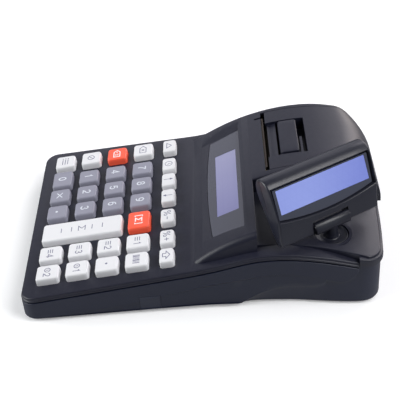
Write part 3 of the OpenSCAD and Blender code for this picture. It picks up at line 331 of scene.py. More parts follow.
def finished(obj, name, body, material, slot, *nodes, sharp=30, smooth=True):
    """Turns a worked shape into a named piece of the model, in metres."""
    obj.name = obj.data.name = name
    obj.data.transform(Matrix.Translation((0, -CASE_L / 2 * MM, 0)) @ Matrix.Scale(MM, 4))
    if smooth:
        obj.data.shade_smooth()
        obj.data.set_sharp_from_angle(angle=radians(sharp))
    obj.data.materials.clear()
    obj.data.materials.append(material)
    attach(obj, body)
    if nodes:
        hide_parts(*nodes)
    return obj


# ---------- Case outlines ----------

CORNER_STEPS = 10
FLANK_STATIONS = [12, 18, *range(26, 77, 10), 84, 92, 97, *range(102, 115, 4), 117, 119,
                  *range(121, 131, 3), *range(134, 147, 4), 149, 152, 156, 160, 162, 163.4,
                  164, 164.6, 166, 169, 172, 174.5, 176, 177.3, 178.6, 179.8, 180.8, 181.4,
                  181.8, 183]
HUMP_STATIONS = [HUMP_START, 92, 94, 95.5, 97, 99, *range(101, 126, 3), 127]
PRINTER_STATIONS = [*range(100, 161, 6), 164, 168, 171, 174, 177, 179.5]


def half_plan(inset):
    """Right-hand half of the case's plan, from the front edge round to the rear."""
    front_x = side_x(FRONT_CORNER_R) - FRONT_CORNER_R
    rear_x = REAR_HALF - REAR_CORNER_R
    front, rear = FRONT_CORNER_R - inset, REAR_CORNER_R - inset
    turn = arc(0, 0, 1, 1, 0, 90, CORNER_STEPS)
    points = [(front_x + front * s, FRONT_CORNER_R - front * c) for c, s in turn]
    points += [(side_x(y) - inset, y) for y in FLANK_STATIONS]
    points += [(rear_x + rear * c, rear_y(rear_x) - REAR_CORNER_R + rear * s) for c, s in turn]
    back = [rear_x * (1 - i / 8) for i in range(1, 8)]
    return points + [(x, rear_y(x) - inset) for x in back]


def mirrored(points):
    return [(-p[0], *p[1:]) for p in reversed(points)]


def plan_ring(inset, height):
    """The case's outline, drawn in by inset, at a height that follows Y."""
    half = [(x, y, height(y)) for x, y in half_plan(inset)]
    return half + mirrored(half)


# ---------- Upper case ----------

STEP_Z, STEP_OUT = 1.75, 0.45
SPLIT_INSET = 1.2           # how deep the groove between the halves runs in
TOP_EDGE_R = 0.8


def rim_solid(t, base):
    """The deck with its rim, and the ledge that sweeps up beside the hump."""
    if t:
        return rings([plan_ring(t, lambda y: base), plan_ring(t, lambda y: ledge_z(y) - t)],
                     "strips")
    rows = [plan_ring(SPLIT_INSET, lambda y: base),
            plan_ring(SPLIT_INSET, lambda y: split_z(y) + SPLIT_GROOVE),
            plan_ring(0.05, lambda y: split_z(y) + SPLIT_GROOVE + 0.15)]
    drops = [(0.0, STEP_Z + 0.25), (0.12, STEP_Z), (STEP_OUT, STEP_Z - 0.22)]
    drops += [(STEP_OUT + 0.05 + TOP_EDGE_R * c, TOP_EDGE_R * s) for c, s in quarter(5)]
    rows += [plan_ring(inset, lambda y, d=drop: ledge_z(y) - d) for inset, drop in drops]
    return rings(rows, "strips")


def hump_section(half, low, top, far_r, right, near_r, steps, ridge=()):
    """Cross-section of a hump, from its leaning far wall over the top to the near edge."""
    left = HUMP_LEAN * max(0.0, top - low) - half
    points = [(-half, min(low, top - far_r - 0.01))]
    points += [(left + far_r * c, top - far_r * s) for c, s in quarter(steps[0])]
    points += [(lerp(left + far_r, right - near_r, share), top) for share in ridge]
    return points + [(right - near_r * c, top - near_r * s) for c, s in quarter(steps[1])[::-1]]


def operator_hump(t):
    """Hump over the operator's display, which ends in an upright rear wall."""
    rows, nose = [], 0.4
    end = HUMP_WALL_Y - t
    for y in HUMP_STATIONS + [end - nose, end - 0.25, end - 0.1, end]:
        drop = nose - sqrt(max(0.0, nose**2 - max(0.0, y - end + nose) ** 2))
        top, half = hump_z(y) - t - drop, hump_side(y) - t
        low = min(ledge_z(y), hump_z(y)) - 1
        right = half - HUMP_LEAN * max(0.0, top - low)
        ring = [(-half, HUMP_FOOT)] + hump_section(
            half, low, top, smooth_along(FAR_EDGE, y), right, NEAR_EDGE_R, (6, 6))
        ring += [(half, min(low, top - NEAR_EDGE_R - 0.01)), (half, HUMP_FOOT)]
        rows.append([(x, y, z) for x, z in ring])
    return rings(rows)


def rear_bend(x, xl, depth):
    """How far the rear end has swung forward at x, on its way round the far corner."""
    q = clamp((xl + BEND_W - x) / BEND_W)
    return depth * (1 - sqrt(max(0.0, 1 - q * q)))


def hump_ring(y, top, t, depth):
    """Cross-section of the printer's hump, with points along its top so that it can bend."""
    at = min(y, ROUND_START)
    half = hump_side(at) - t
    upper = hump_section(half, ledge_z(at) - 1, top, smooth_along(FAR_EDGE, at), HUMP_WALL_X - t,
                         0.9, (7, 4), [(i / 18) ** 1.4 for i in range(1, 18)])
    bent = [(x, y - rear_bend(x, -half, depth), z) for x, z in upper]
    return bent + [(x, v, HUMP_FOOT) for x, v, z in reversed(bent)]


def printer_hump(t):
    """Hump over the printer, whose rear end rolls down to the base."""
    rows = []
    for y in PRINTER_STATIONS:
        fade = clamp((y - BEND_START) / (ROUND_START - BEND_START))
        rows.append(hump_ring(y, hump_z(y) - t, t, BEND_TOP * fade * fade * (3 - 2 * fade)))
    for i in range(19):
        share = i / 18
        a = (pi / 2 - ROUND_FALL) * (1 - share)
        rows.append(hump_ring(ROUND_Y + (ROUND_R - t) * cos(a), ROUND_Z + (ROUND_R - t) * sin(a),
                              t, lerp(BEND_TOP, BEND_LOW, share)))
    return rings(rows, "strips")


def rear_room(t, y0):
    """Plan of the room inside the rear end, from y0 back."""
    left, right = t - hump_side(ROUND_START), HUMP_WALL_X - t
    back = [lerp(left, right, (i / 24) ** 2) for i in range(25)]
    return ([(left, y0)] + [(x, CASE_L - t - rear_bend(x, left, BEND_LOW)) for x in back]
            + [(right, y0)])


SHELF_REAR_INSET, SHELF_EDGE_R = 1.6, 0.9
SHOULDER_DROP = 1.2         # the shoulder's top lies this far under the shelf
BLOCK_LOW = 20.0            # height at which the shelf and the shoulder start
SHELF_MIDDLE = 38.0, 165.0  # the shelf's edge rounds in toward this spot


def shelf_solid(t):
    """Lower shelf under the customer's display, with a softened outer edge."""
    y_rows = [HUMP_WALL_Y - 3, *range(130, 183, 4), 185]
    inset = SHELF_REAR_INSET + t
    corner = half_plan(inset)[CORNER_STEPS + 1 + len(FLANK_STATIONS):]
    outer = [(side_x(y) - smooth_along(SHELF_EDGE, y) - t, y) for y in y_rows]
    outer += [p for p in corner if p[0] > HUMP_WALL_X and p[1] > 185.5]
    outer.append((HUMP_WALL_X, rear_y(HUMP_WALL_X) - inset))
    outline = outer + [(HUMP_WALL_X - 3, y) for x, y in reversed(outer)]
    mx, my = SHELF_MIDDLE
    rows = [at_height(outline, BLOCK_LOW)]
    for c, s in quarter(4):
        row = []
        for x, y in outline:
            inner = x < HUMP_WALL_X or y < HUMP_WALL_Y
            k = 0.0 if inner else SHELF_EDGE_R * c / hypot(mx - x, my - y)
            row.append((lerp(x, mx, k), lerp(y, my, k), shelf_z(y) - t - SHELF_EDGE_R * s))
        rows.append(row)
    return rings(rows, "strips")


def rear_shoulder(t):
    """Where the ledge has run out, the body fills the whole plan."""
    def ring(inset, height):
        half = [(side_x(LEDGE_END) - inset, LEDGE_END + t)]
        half += [p for p in half_plan(inset) if p[1] >= LEDGE_END + t]
        return [(x, y, height(y)) for x, y in half + mirrored(half)]
    split = REAR_SPLIT_Z + SPLIT_GROOVE
    rows = [ring(SPLIT_INSET + t, lambda y: BLOCK_LOW), ring(SPLIT_INSET + t, lambda y: split),
            ring(t, lambda y: split + 0.15), ring(t, lambda y: shelf_z(y) - 2.0 - t)]
    rows += [ring(t + TOP_EDGE_R * c,
                  lambda y, s=s: shelf_z(y) - SHOULDER_DROP - t - TOP_EDGE_R * s)
             for c, s in quarter(4)]
    return rings(rows, "strips")


def upper_form(t):
    return join(rim_solid(t, -2.0 if t else 0.0), operator_hump(t), printer_hump(t),
                shelf_solid(t), rear_shoulder(t))


def below_split():
    """Everything under the parting line."""
    ys = sorted({-10, LEDGE_END, LEDGE_END + 0.3, LEDGE_END + GROOVE_RUN, CASE_L + 10}
                | {y for y in FLANK_STATIONS if y <= LEDGE_END})
    return across(-90, 90, [(y, split_z(y)) for y in ys] + [(CASE_L + 10, -5), (-10, -5)])


# ---------- Finishes ----------


def new_group(name, inputs, outputs):
    """An empty shader group with float or colour sockets, and its two end nodes."""
    kinds = {float: "NodeSocketFloat", tuple: "NodeSocketColor"}
    group = bpy.data.node_groups.new(name, "ShaderNodeTree")
    for socket, value in inputs.items():
        made = group.interface.new_socket(name=socket, in_out="INPUT",
                                          socket_type=kinds[type(value)])
        made.default_value = value
    for socket, kind in outputs.items():
        group.interface.new_socket(name=socket, in_out="OUTPUT", socket_type=kinds[kind])
    return group, group.nodes.new("NodeGroupInput"), group.nodes.new("NodeGroupOutput")


def feed(tree, node, sockets):
    """Sets a node's sockets, each to a value or to what another node puts out."""
    for socket, value in sockets.items():
        if isinstance(value, bpy.types.NodeSocket):
            tree.links.new(value, node.inputs[socket])
        elif value is not None:
            node.inputs[socket].default_value = value
    return node


def add(tree, kind, *sockets, **settings):
    """Adds a node, with its sockets in their order and its own settings."""
    node = tree.nodes.new("ShaderNode" + kind)
    for key, value in settings.items():
        setattr(node, key, value)
    return feed(tree, node, dict(enumerate(sockets)))


def place(tree):
    return add(tree, "TexCoord").outputs["Object"]


def noise(tree, at, scale, detail, rough=0.5):
    return add(tree, "TexNoise", at, None, scale, detail, rough).outputs[0]


def remap(tree, source, *limits):
    """Turns a range of a value, given first, into another range."""
    return add(tree, "MapRange", source, *limits).outputs[0]


def reckon(tree, how, *sockets, **settings):
    return add(tree, "Math", *sockets, operation=how, **settings).outputs[0]


def blend(tree, share, low, high):
    mixed = add(tree, "Mix", share, data_type="RGBA")
    return feed(tree, mixed, {6: low, 7: high}).outputs[2]


def make_grain_group():
    """Spark-eroded grain of a moulding: a fine height and a slow drift of the gloss."""
    group, inlet, outlet = new_group(
        "moulded_grain", {"Grain Size": 0.35, "Drift": 0.04, "Roughness": 0.5},
        {"Height": float, "Roughness": float})
    given, at = inlet.outputs, place(group)
    fine = noise(group, at, reckon(group, "DIVIDE", 1 / MM, given["Grain Size"]), 3.0, 0.6)
    swing = reckon(group, "SUBTRACT", noise(group, at, 55.0, 3.0), 0.5)
    gloss = reckon(group, "MULTIPLY_ADD", swing, given["Drift"], given["Roughness"])
    feed(group, outlet, {"Height": fine, "Roughness": gloss})
    return group


def make_tone_group():
    """Faint clouding of a moulding's colour, with dust that settles on what faces up."""
    group, inlet, outlet = new_group(
        "moulded_tone", {"Color": (0.5, 0.5, 0.5, 1), "Clouding": 0.06, "Dust": 0.02,
                         "Dust Color": (0.45, 0.42, 0.4, 1)}, {"Color": tuple})
    given, at = inlet.outputs, place(group)
    cloud = remap(group, noise(group, at, 32.0, 4.0), 0.3, 0.7, -1.0, 1.0)
    swing = reckon(group, "MULTIPLY_ADD", cloud, given["Clouding"], 1.0)
    toned = feed(group, add(group, "VectorMath", given["Color"], operation="SCALE"),
                 {"Scale": swing})
    facing = add(group, "SeparateXYZ", add(group, "NewGeometry").outputs["Normal"])
    up = remap(group, facing.outputs["Z"], 0.35, 0.95)
    patch = remap(group, noise(group, at, 420.0, 2.0), 0.35, 0.75)
    dust = reckon(group, "MULTIPLY", reckon(group, "MULTIPLY", up, patch), given["Dust"])
    feed(group, outlet, {"Color": blend(group, dust, toned.outputs[0], given["Dust Color"])})
    return group


GRAIN, TONE = make_grain_group(), make_tone_group()


def placed(tree, group, **values):
    """Places a shader group in a material with the material's own values."""
    node = tree.nodes.new("ShaderNodeGroup")
    node.node_tree = group
    return feed(tree, node, {key.replace("_", " "): v for key, v in values.items()}).outputs


def blank(name, colour=(0.8, 0.8, 0.8)):
    material = bpy.data.materials.new(name)
    material.use_nodes = True
    material.diffuse_color = (*colour, 1)
    tree = material.node_tree
    return material, tree, next(n for n in tree.nodes if n.type == "BSDF_PRINCIPLED")


def moulded(name, colour, roughness, grain=0.35, relief=0.012, drift=0.05, clouding=0.05,
            dust=0.0, coat=0.0, specular=0.5):
    """Moulded plastic: grained, faintly clouded, with dust on top where it gathers."""
    material, tree, shader = blank(name, colour)
    surface = placed(tree, GRAIN, Grain_Size=grain, Drift=drift, Roughness=roughness)
    tone = placed(tree, TONE, Color=(*colour, 1), Clouding=clouding, Dust=dust)
    bump = feed(tree, add(tree, "Bump", 0.6, relief * MM), {"Height": surface["Height"]})
    feed(tree, shader, {"Base Color": tone["Color"], "Roughness": surface["Roughness"],
                        "Normal": bump.outputs[0], "Specular IOR Level": specular})
    if coat:
        feed(tree, shader, {"Coat Weight": coat, "Coat Roughness": 0.12})
    return material


def metal(name, colour, roughness, stretch=(1.0, 60.0, 60.0), drift=0.12):
    """Sheet or turned steel with drawn streaks."""
    material, tree, shader = blank(name, colour)
    stretched = feed(tree, add(tree, "Mapping", place(tree)), {"Scale": stretch})
    streaks = noise(tree, stretched.outputs[0], 90.0, 4.0)
    gloss = remap(tree, streaks, 0.3, 0.7, roughness - drift / 2, roughness + drift / 2)
    tone = placed(tree, TONE, Color=(*colour, 1), Clouding=0.08, Dust=0.0)
    feed(tree, shader, {"Base Color": tone["Color"], "Roughness": gloss, "Metallic": 1.0})
    return material


def printed_film(name, colour):
    """Pad-printed ink: nearly flat, a little uneven in tone."""
    material, tree, shader = blank(name, colour)
    tone = placed(tree, TONE, Color=(*colour, 1), Clouding=0.05, Dust=0.0)
    surface = placed(tree, GRAIN, Grain_Size=0.12, Drift=0.08, Roughness=0.42)
    feed(tree, shader, {"Base Color": tone["Color"], "Roughness": surface["Roughness"]})
    return material


def display_glass(name, dark, light, painted_glow, cell, shade_fall, near, far):
    """Unlit character glass: a pale field with a faint lattice of character cells.

    A faint painted glow stands in for the light that reaches it through the lens.

    A painted shade darkens it along a given direction, from near to far.
    """
    material, tree, shader = blank(name, light)
    at = place(tree)
    cells = add(tree, "TexVoronoi", at, voronoi_dimensions="3D", feature="F1",
                distance="CHEBYCHEV")
    feed(tree, cells, {"Scale": 1 / (cell * MM), "Randomness": 0.0})
    lattice = remap(tree, cells.outputs["Distance"], 0.40, 0.49, 0.0, 0.05)
    cloud = remap(tree, noise(tree, at, 28.0, 2.0), 0.3, 0.7, 0.0, 0.12)
    # Painted shade: the field darkens along the given direction, from near to far, as light falls
    # off across the glass.
    fade = add(tree, "VectorMath", at, shade_fall, operation="DOT_PRODUCT").outputs["Value"]
    share = reckon(tree, "ADD", reckon(tree, "ADD", cloud, lattice),
                   remap(tree, fade, near, far, 0.0, 0.85), use_clamp=True)
    field = blend(tree, share, (*light, 1), (*dark, 1))
    gloss = placed(tree, GRAIN, Grain_Size=2.0, Drift=0.03, Roughness=0.14)
    # Painted glow: the field is also given off as light, in place of light that reaches it through
    # the lens.
    feed(tree, shader, {"Base Color": field, "Emission Color": field, "Emission Strength": painted_glow,
                        "Roughness": gloss["Roughness"], "Coat Weight": 0.5,
                        "Coat Roughness": 0.05})
    return material


def spun_paper(name, colour):
    """Edge-wound paper with faint fibres all over."""
    material, tree, shader = blank(name, colour)
    fibres = noise(tree, place(tree), 900.0, 5.0)
    tint = feed(tree, add(tree, "VectorMath", colour, operation="SCALE"),
                {"Scale": remap(tree, fibres, 0.3, 0.7, 0.94, 1.03)})
    bump = feed(tree, add(tree, "Bump"), {"Distance": 0.01 * MM, "Height": fibres})
    feed(tree, shader, {"Base Color": tint.outputs[0], "Roughness": 0.7,
                        "Normal": bump.outputs[0]})
    return material


SHELL = {"grain": 0.3, "relief": 0.02, "drift": 0.06}
deck_black = moulded("deck_black", (0.0098, 0.0108, 0.0240), 0.44, dust=0.012, **SHELL)
base_black = moulded("base_black", (0.0060, 0.0095, 0.0300), 0.46, **SHELL)
port_black = moulded("port_black", (0.0150, 0.0195, 0.0430), 0.42, **SHELL)
gloss_black = moulded("gloss_black", (0.0200, 0.0212, 0.0330), 0.30, 0.25, 0.006, dust=0.006)
post_black = moulded("post_black", (0.0115, 0.0125, 0.0220), 0.36, 0.3, 0.01)
cap_white = moulded("cap_white", (0.80, 0.80, 0.825), 0.36, 0.25, 0.006, clouding=0.012)
cap_grey = moulded("cap_grey", (0.29, 0.29, 0.36), 0.38, 0.25, 0.008, clouding=0.03)
cap_red = moulded("cap_red", (1.0, 0.12, 0.06), 0.36, 0.25, 0.006, clouding=0.03)
lens_tint = moulded("lens_tint", (0.035, 0.038, 0.062), 0.16, 1.5, 0.0005, 0.03, 0.03, coat=0.6)
frame_black = moulded("frame_black", (0.012, 0.012, 0.015), 0.55)
foot_rubber = moulded("foot_rubber", (0.016, 0.016, 0.017), 0.82, 0.5, 0.04, specular=0.3)
roller_rubber = moulded("roller_rubber", (0.02, 0.02, 0.022), 0.7, 0.2, 0.01, specular=0.35)
mat_rubber = moulded("mat_rubber", (0.22, 0.23, 0.25), 0.65, 0.4, 0.01, specular=0.3)
board_green = moulded("board_green", (0.012, 0.075, 0.028), 0.35, 0.8, 0.006, clouding=0.18,
                      coat=0.3)
battery_wrap = moulded("battery_wrap", (0.012, 0.045, 0.15), 0.28, 1.2, 0.01, clouding=0.08)
socket_black = moulded("socket_black", (0.011, 0.011, 0.012), 0.4)
head_ceramic = moulded("head_ceramic", (0.45, 0.36, 0.17), 0.25, 0.6, 0.002, coat=0.5)
gear_natural = moulded("gear_natural", (0.68, 0.65, 0.56), 0.4)
plated_steel = metal("plated_steel", (0.30, 0.30, 0.31), 0.4)
tear_steel = metal("tear_steel", (0.125, 0.105, 0.098), 0.45, (60.0, 1.0, 1.0))
print_light = printed_film("print_light", (0.72, 0.75, 0.82))
print_white = printed_film("print_white", (0.88, 0.86, 0.86))
print_ink = printed_film("print_ink", (0.17, 0.17, 0.27))
roll_paper = spun_paper("roll_paper", (0.84, 0.82, 0.77))
core_board = spun_paper("core_board", (0.36, 0.28, 0.19))
# Each glass carries a painted glow, given before its cell size, and a painted shade along the
# direction given after it.
operator_glass = display_glass("operator_glass", (0.175, 0.175, 0.37), (0.27, 0.27, 0.44), 0.10,
                               3.2, (1.0, 0.0, 0.0), -0.026, 0.026)
customer_glass = display_glass("customer_glass", (0.125, 0.16, 0.56), (0.27, 0.33, 0.74), 0.22,
                               3.2, (-0.40, 0.86, -0.30), 0.012, 0.072)

# ---------- Sizes of the keyboard ----------

KEY_RISE, KEY_GAP = 4.0, 0.3
COL_A, COL_B, COL_C, COL_D = -51.0, -32.0, -16.5, -1.0
COL_E = COL_D + 18.4
COL_F = COL_E + 18.4
COL_G = COL_F + 15.5
ROW_1, ROW_PITCH = 15.0, 16.5
SMALL, SIDE_KEY, WIDE = (12.1, 12.1), (11.7, 12.8), 15.2        # widths and lengths
ZERO_W, ZERO_SHIFT, TOTAL_L, FAR_ROW_L = 15.0, -1.05, 46.5, 8.2

# Keys in the order of their rows from the operator out, from left to right
KEY_ROWS = (
    "price_lookup 0 multiply point total dept_4 pay_2",
    "void 1 2 3 - dept_3 pay_1",
    "price 4 5 6 - dept_2 dot",
    "clear 7 8 9 subtotal dept_1 barcode",
    "feed clock up down minus_percent plus_percent shift")


def key_table():
    """Name, finish, place on the deck, width and length of every key."""
    keys = []
    for i, names in enumerate(KEY_ROWS):
        for name, x in zip(names.split(), (COL_A, COL_B, COL_C, COL_D, COL_E, COL_F, COL_G)):
            (w, l), y = SMALL if x < COL_F else SIDE_KEY, ROW_1 + ROW_PITCH * i
            if name == "0":
                x, w = x + ZERO_SHIFT, ZERO_W
            elif name == "total":
                y, w, l = y + ROW_PITCH, WIDE, TOTAL_L
            elif name == "subtotal":
                w, l = WIDE, SIDE_KEY[1]
            l = FAR_ROW_L if names == KEY_ROWS[-1] else l
            finish = ("grey" if name.isdigit() or name in ("multiply", "point")
                      else "red" if name in ("price", "subtotal") else "white")
            keys.append((name, finish, x, y, w, l))
    return [key for key in keys if key[0] != "-"]


KEYS = key_table()
ON_DECK = Matrix.Translation((0, 0, FRONT_H)) @ Matrix.Rotation(DECK_TILT, 4, "X")

# ---------- Sizes of the operator display ----------

LENS_Y, LENS_L, LENS_W, LENS_FLARE, LENS_BOW = 105.3, 19.4, 87.0, 5.0, 2.4
LENS_TILT = radians(24.5)
LENS_Z = hump_z(LENS_Y) - 1.1
LENS_T, TOUCH_GAP, PAN_T = 1.6, 0.1, 1.5
LENS_GAP, PAN_OUT = 0.28, 2.2
GLASS_W, GLASS_H = 56.0, 13.0
ON_LENS = Matrix.Translation((0, LENS_Y, LENS_Z)) @ Matrix.Rotation(LENS_TILT, 4, "X")
TO_GLASS = Matrix.Translation((0, LENS_L / 2, 0))
TUB_NEAR, TUB_FRONT, TUB_REAR = 0.8, 8.0, 0.15
TUB_SIDE = [(0.02, 0.4), (2.3, 7.4), (8.0, 9.0)]       # height and reach of its far slope


def bowed(left, right, front, bow, n):
    """A front edge that bows toward the operator in its middle."""
    return [(lerp(left, right, i / n), front - bow * (1 - (2 * i / n - 1) ** 2))
            for i in range(n + 1)]


def lens_outline(gap):
    half = LENS_W / 2 + gap
    rear = half + LENS_FLARE / 2
    return bowed(-half, half, -gap, LENS_BOW, 48) + [(rear, LENS_L + gap), (-rear, LENS_L + gap)]


def tub_outline(reach):
    """The flat round the lens runs on forward, out through the hump, and slopes up far off."""
    left, right = -(LENS_W / 2 + reach), LENS_W / 2 + TUB_NEAR
    return bowed(left, right, -TUB_FRONT, LENS_BOW, 24) + [
        (right + LENS_FLARE / 2, LENS_L + TUB_REAR), (left - LENS_FLARE / 2, LENS_L + TUB_REAR)]


# ---------- Sizes of the printer ----------

PRINTER_X, COVER_W, COVER_T = -24.3, 57.8, 2.2
COVER_FRONT, COVER_HEM = 138.8, 32.1
COVER_X = COVER_LEFT, COVER_RIGHT = about(PRINTER_X, COVER_W / 2)
WINDOW_W, WINDOW_L = 34.5, 22.4
WINDOW = about(PRINTER_X, WINDOW_W / 2)
FIT_LOOSE = 0.35
BAY_HALF, BAY_WALL = COVER_W / 2 + FIT_LOOSE - 0.15, 2.0
BAY_X = about(PRINTER_X, BAY_HALF)
BAY_FRONT, BAY_REAR, BAY_FLOOR, BAY_WALL_TOP = 150.5, 188.0, 6.0, 38.8
SLOT_FRONT, SLOT_LOW = COVER_FRONT - 2.4, 44.0
SIDE_NOTCH_X, SIDE_NOTCH_Y = (-49.3, -47.7), 132.6
PLATEN_Y, PLATEN_Z = 142.5, 41.4
GEAR_R, DRIVE_ANGLE = 5.0, radians(267)
DRIVE_Z = PLATEN_Z + (2 * GEAR_R + 0.1) * sin(DRIVE_ANGLE)
PRINTER_FLOOR = DRIVE_Z - GEAR_R - 0.5 - 1.2 - 0.5
HINGE_Y, HINGE_Z, BARREL_R = CASE_L - 4.5, REAR_SPLIT_Z + 3.8, 3.4
BARREL_LEFT, BARREL_GAP = PRINTER_X - 3, 0.4
LUG_W, LUG_TOP = 4.0, 42.0
PIN_HEAD_R, PIN_HEAD_T = 3.2, 2.0


def paper_bay():
    room = upright(rear_room(WALL_T + BAY_WALL - 0.5, BAY_FRONT), -1, ABOVE + 1)
    return trim(box(BAY_X, (BAY_FRONT + BAY_WALL, BAY_REAR), (BAY_FLOOR, ABOVE)), room)


def cover_block(gap, z0, z1):
    """The printer cover's plan, widened by gap, as a block that runs out at the rear."""
    return box(wider(COVER_X, gap), (COVER_FRONT - gap, PAST_REAR), (z0, z1))


def barrel_room():
    """Where the cover's hinge barrel turns."""
    return rod(BARREL_LEFT - BARREL_GAP, COVER_RIGHT + FIT_LOOSE, HINGE_Y, HINGE_Z, 2 * BARREL_R)


# ---------- The deck and all it carries ----------

SWIVEL_X, SWIVEL_Y, SPINDLE_R = 46.8, 168.7, 5.5
DISH_R, DISH_Z = SPINDLE_R + 3.9, shelf_z(SWIVEL_Y) - 2.4
TILT_Z = DISH_Z + 10.6


def build_upper_case(material):
    form = cut(upper_form(0), below_split())
    shell = cut(form, upper_form(WALL_T))
    wall_x, bay_end = HUMP_WALL_X - WALL_T, BAY_REAR + BAY_WALL
    bay_walls = cut(box((BAY_X[0] - BAY_WALL, wall_x), (BAY_FRONT, bay_end),
                        (BAY_FLOOR - 1.5, BAY_WALL_TOP)), paper_bay())
    floor = box((BAY_X[0] - BAY_WALL, wall_x), (HUMP_WALL_Y - 2, BAY_FRONT + BAY_WALL),
                (PRINTER_FLOOR - 1.5, PRINTER_FLOOR))
    cheek = box((BAY_X[1], HUMP_WALL_X - 0.5), (SLOT_FRONT - 6, bay_end), (PRINTER_FLOOR, 60))
    inside = trim(join(bay_walls, floor, cheek), printer_hump(WALL_T - 0.5))
    lug = across(COVER_RIGHT + FIT_LOOSE, HUMP_WALL_X - 0.5,
                 [(BAY_REAR, REAR_SPLIT_Z), (BAY_REAR, LUG_TOP)]
                 + arc(ROUND_Y, ROUND_Z, ROUND_R - 0.5, ROUND_R - 0.5, 45, 0, 9)
                 + [(ROUND_Y + ROUND_R - 2.5, REAR_SPLIT_Z)])
    lug_x = (BARREL_LEFT - BARREL_GAP - LUG_W, BARREL_LEFT - BARREL_GAP)
    far_lug = join(box(lug_x, (bay_end - 1, HINGE_Y), (REAR_SPLIT_Z - 2, HINGE_Z + BARREL_R)),
                   rod(*lug_x, HINGE_Y, HINGE_Z, BARREL_R))
    ys = [lerp(HUMP_START, HUMP_WALL_Y, i / 20) for i in range(21)]
    pan = trim(across(-60, 60, [(HUMP_START, 0)] + [(y, hump_z(y) - 0.5) for y in ys]
                      + [(HUMP_WALL_Y, 0)]),
               moved(upright(lens_outline(PAN_OUT), -LENS_T - TOUCH_GAP - PAN_T, 0), ON_LENS))
    bearing = pillar(SWIVEL_X, SWIVEL_Y, DISH_Z - 6.2, DISH_Z + 2.0, DISH_R + 1.6)
    shell = join(shell, inside, lug, far_lug, pan, bearing)

    window = moved(upright(lens_outline(LENS_GAP), -LENS_T - TOUCH_GAP, 20), ON_LENS)
    tub = moved(rings([at_height(tub_outline(reach), z) for z, reach in TUB_SIDE]), ON_LENS)
    glass = moved(upright(rounded_outline(GLASS_W + 4, GLASS_H + 1.6, 0.6), -10, 10),
                  TO_GLASS, ON_LENS)
    room = join(paper_bay(),
                box(BAY_X, (HUMP_WALL_Y, BAY_FRONT + BAY_WALL + 1), (PRINTER_FLOOR, ABOVE)),
                box(wider(COVER_X, 1), (SLOT_FRONT, PAST_REAR), (COVER_HEM - FIT_LOOSE, ABOVE)),
                box((lug_x[1], COVER_RIGHT + FIT_LOOSE), (bay_end, PAST_REAR),
                    (REAR_SPLIT_Z - 3, ABOVE)))
    opening = trim(cover_block(FIT_LOOSE, PRINTER_FLOOR, ABOVE + 10), room)
    slot = box(wider(COVER_X, FIT_LOOSE), (SLOT_FRONT, COVER_FRONT + 1), (SLOT_LOW, ABOVE))
    notch = box(SIDE_NOTCH_X, (SIDE_NOTCH_Y, SLOT_FRONT + 0.5), (hump_z(135) - 1.2, ABOVE))
    head_room = rod(HUMP_WALL_X, HUMP_WALL_X + PIN_HEAD_T + 0.6, HINGE_Y, HINGE_Z,
                    PIN_HEAD_R + 0.5)
    dish = pillar(SWIVEL_X, SWIVEL_Y, DISH_Z, DISH_Z + 20, DISH_R, 64)
    bore = pillar(SWIVEL_X, SWIVEL_Y, 0, 60, SPINDLE_R + 0.05)
    shell = cut(shell, tub, window, glass, opening, slot, notch, barrel_room(), head_room, dish,
                bore)
    holes = [moved(upright(rounded_outline(w + 2 * KEY_GAP, l + 2 * KEY_GAP, 2.0, 5, x, y),
                           -10, 10), ON_DECK) for _, _, x, y, w, l in KEYS]
    return finished(cut(shell, *holes), "deck_shell", "case", material, "top_shell",
                    "upper_case")


# ---------- Lower case ----------

# Heights of the two creases on the flanks, and how far the foot is drawn in
BAND_CREASE = [(0, 1.6), (5.7, 1.8), (62.8, 8.8), (76.5, 11.8), (97.2, 16.3), (113.4, 19.3),
               (134.9, 23.5), (141, 23.7), (148.9, 23.1), (157, 21.3), (164.6, 19.5),
               (172.4, 17.7), (175.2, 18.2), (177.3, 19.8), (179.4, 22.0), (181, 24.4),
               (181.6, 25.6)]
SCOOP_CREASE = [(117, 1.5), (119, 2.7), (123, 5.6), (127.5, 8.6), (133, 11.5), (138.3, 13.8),
                (143.5, 14.8), (149, 15.0), (156, 14.7), (160.4, 14.9), (162.6, 15.9),
                (164.0, 17.4), (164.6, 19.0)]
FOOT_INSET = [(0, 0.35), (30, 0.5), (60, 1.0), (90, 1.4), (118, 1.5), (150, 1.4), (180, 1.1),
              (201, 1.1)]
SCOOP_DEPTH = [(117, 0.0), (121, 1.4), (127, 2.4), (140, 2.6), (150, 2.4), (160, 1.5),
               (172, 0.5), (182, 0.0)]
FLANK_BANDS = ((0.0, 0.25, 0.5, 0.75, 0.93), (0.0, 0.3, 0.65, 0.94), (0.0, 0.35, 0.7, 1.0))
STEP = 0.6                  # how proud each band of the flank stands
BAND_START, SCOOP_START, BAND_END = 4, 117, 181.0
FLOOR_EDGE_R = 1.1
FLOOR_EDGE_Z = FOOT_H + FLOOR_EDGE_R


def band_crease(y):
    top = split_z(y) - 0.6
    return top if y >= BAND_CREASE[-1][0] else min(smooth_along(BAND_CREASE, y), top)


def scoop_crease(y):
    if y <= SCOOP_CREASE[0][0]:
        return FLOOR_EDGE_Z
    top = band_crease(y) - 0.05
    if y >= SCOOP_CREASE[-1][0]:
        return top
    return max(FLOOR_EDGE_Z, min(smooth_along(SCOOP_CREASE, y), top))


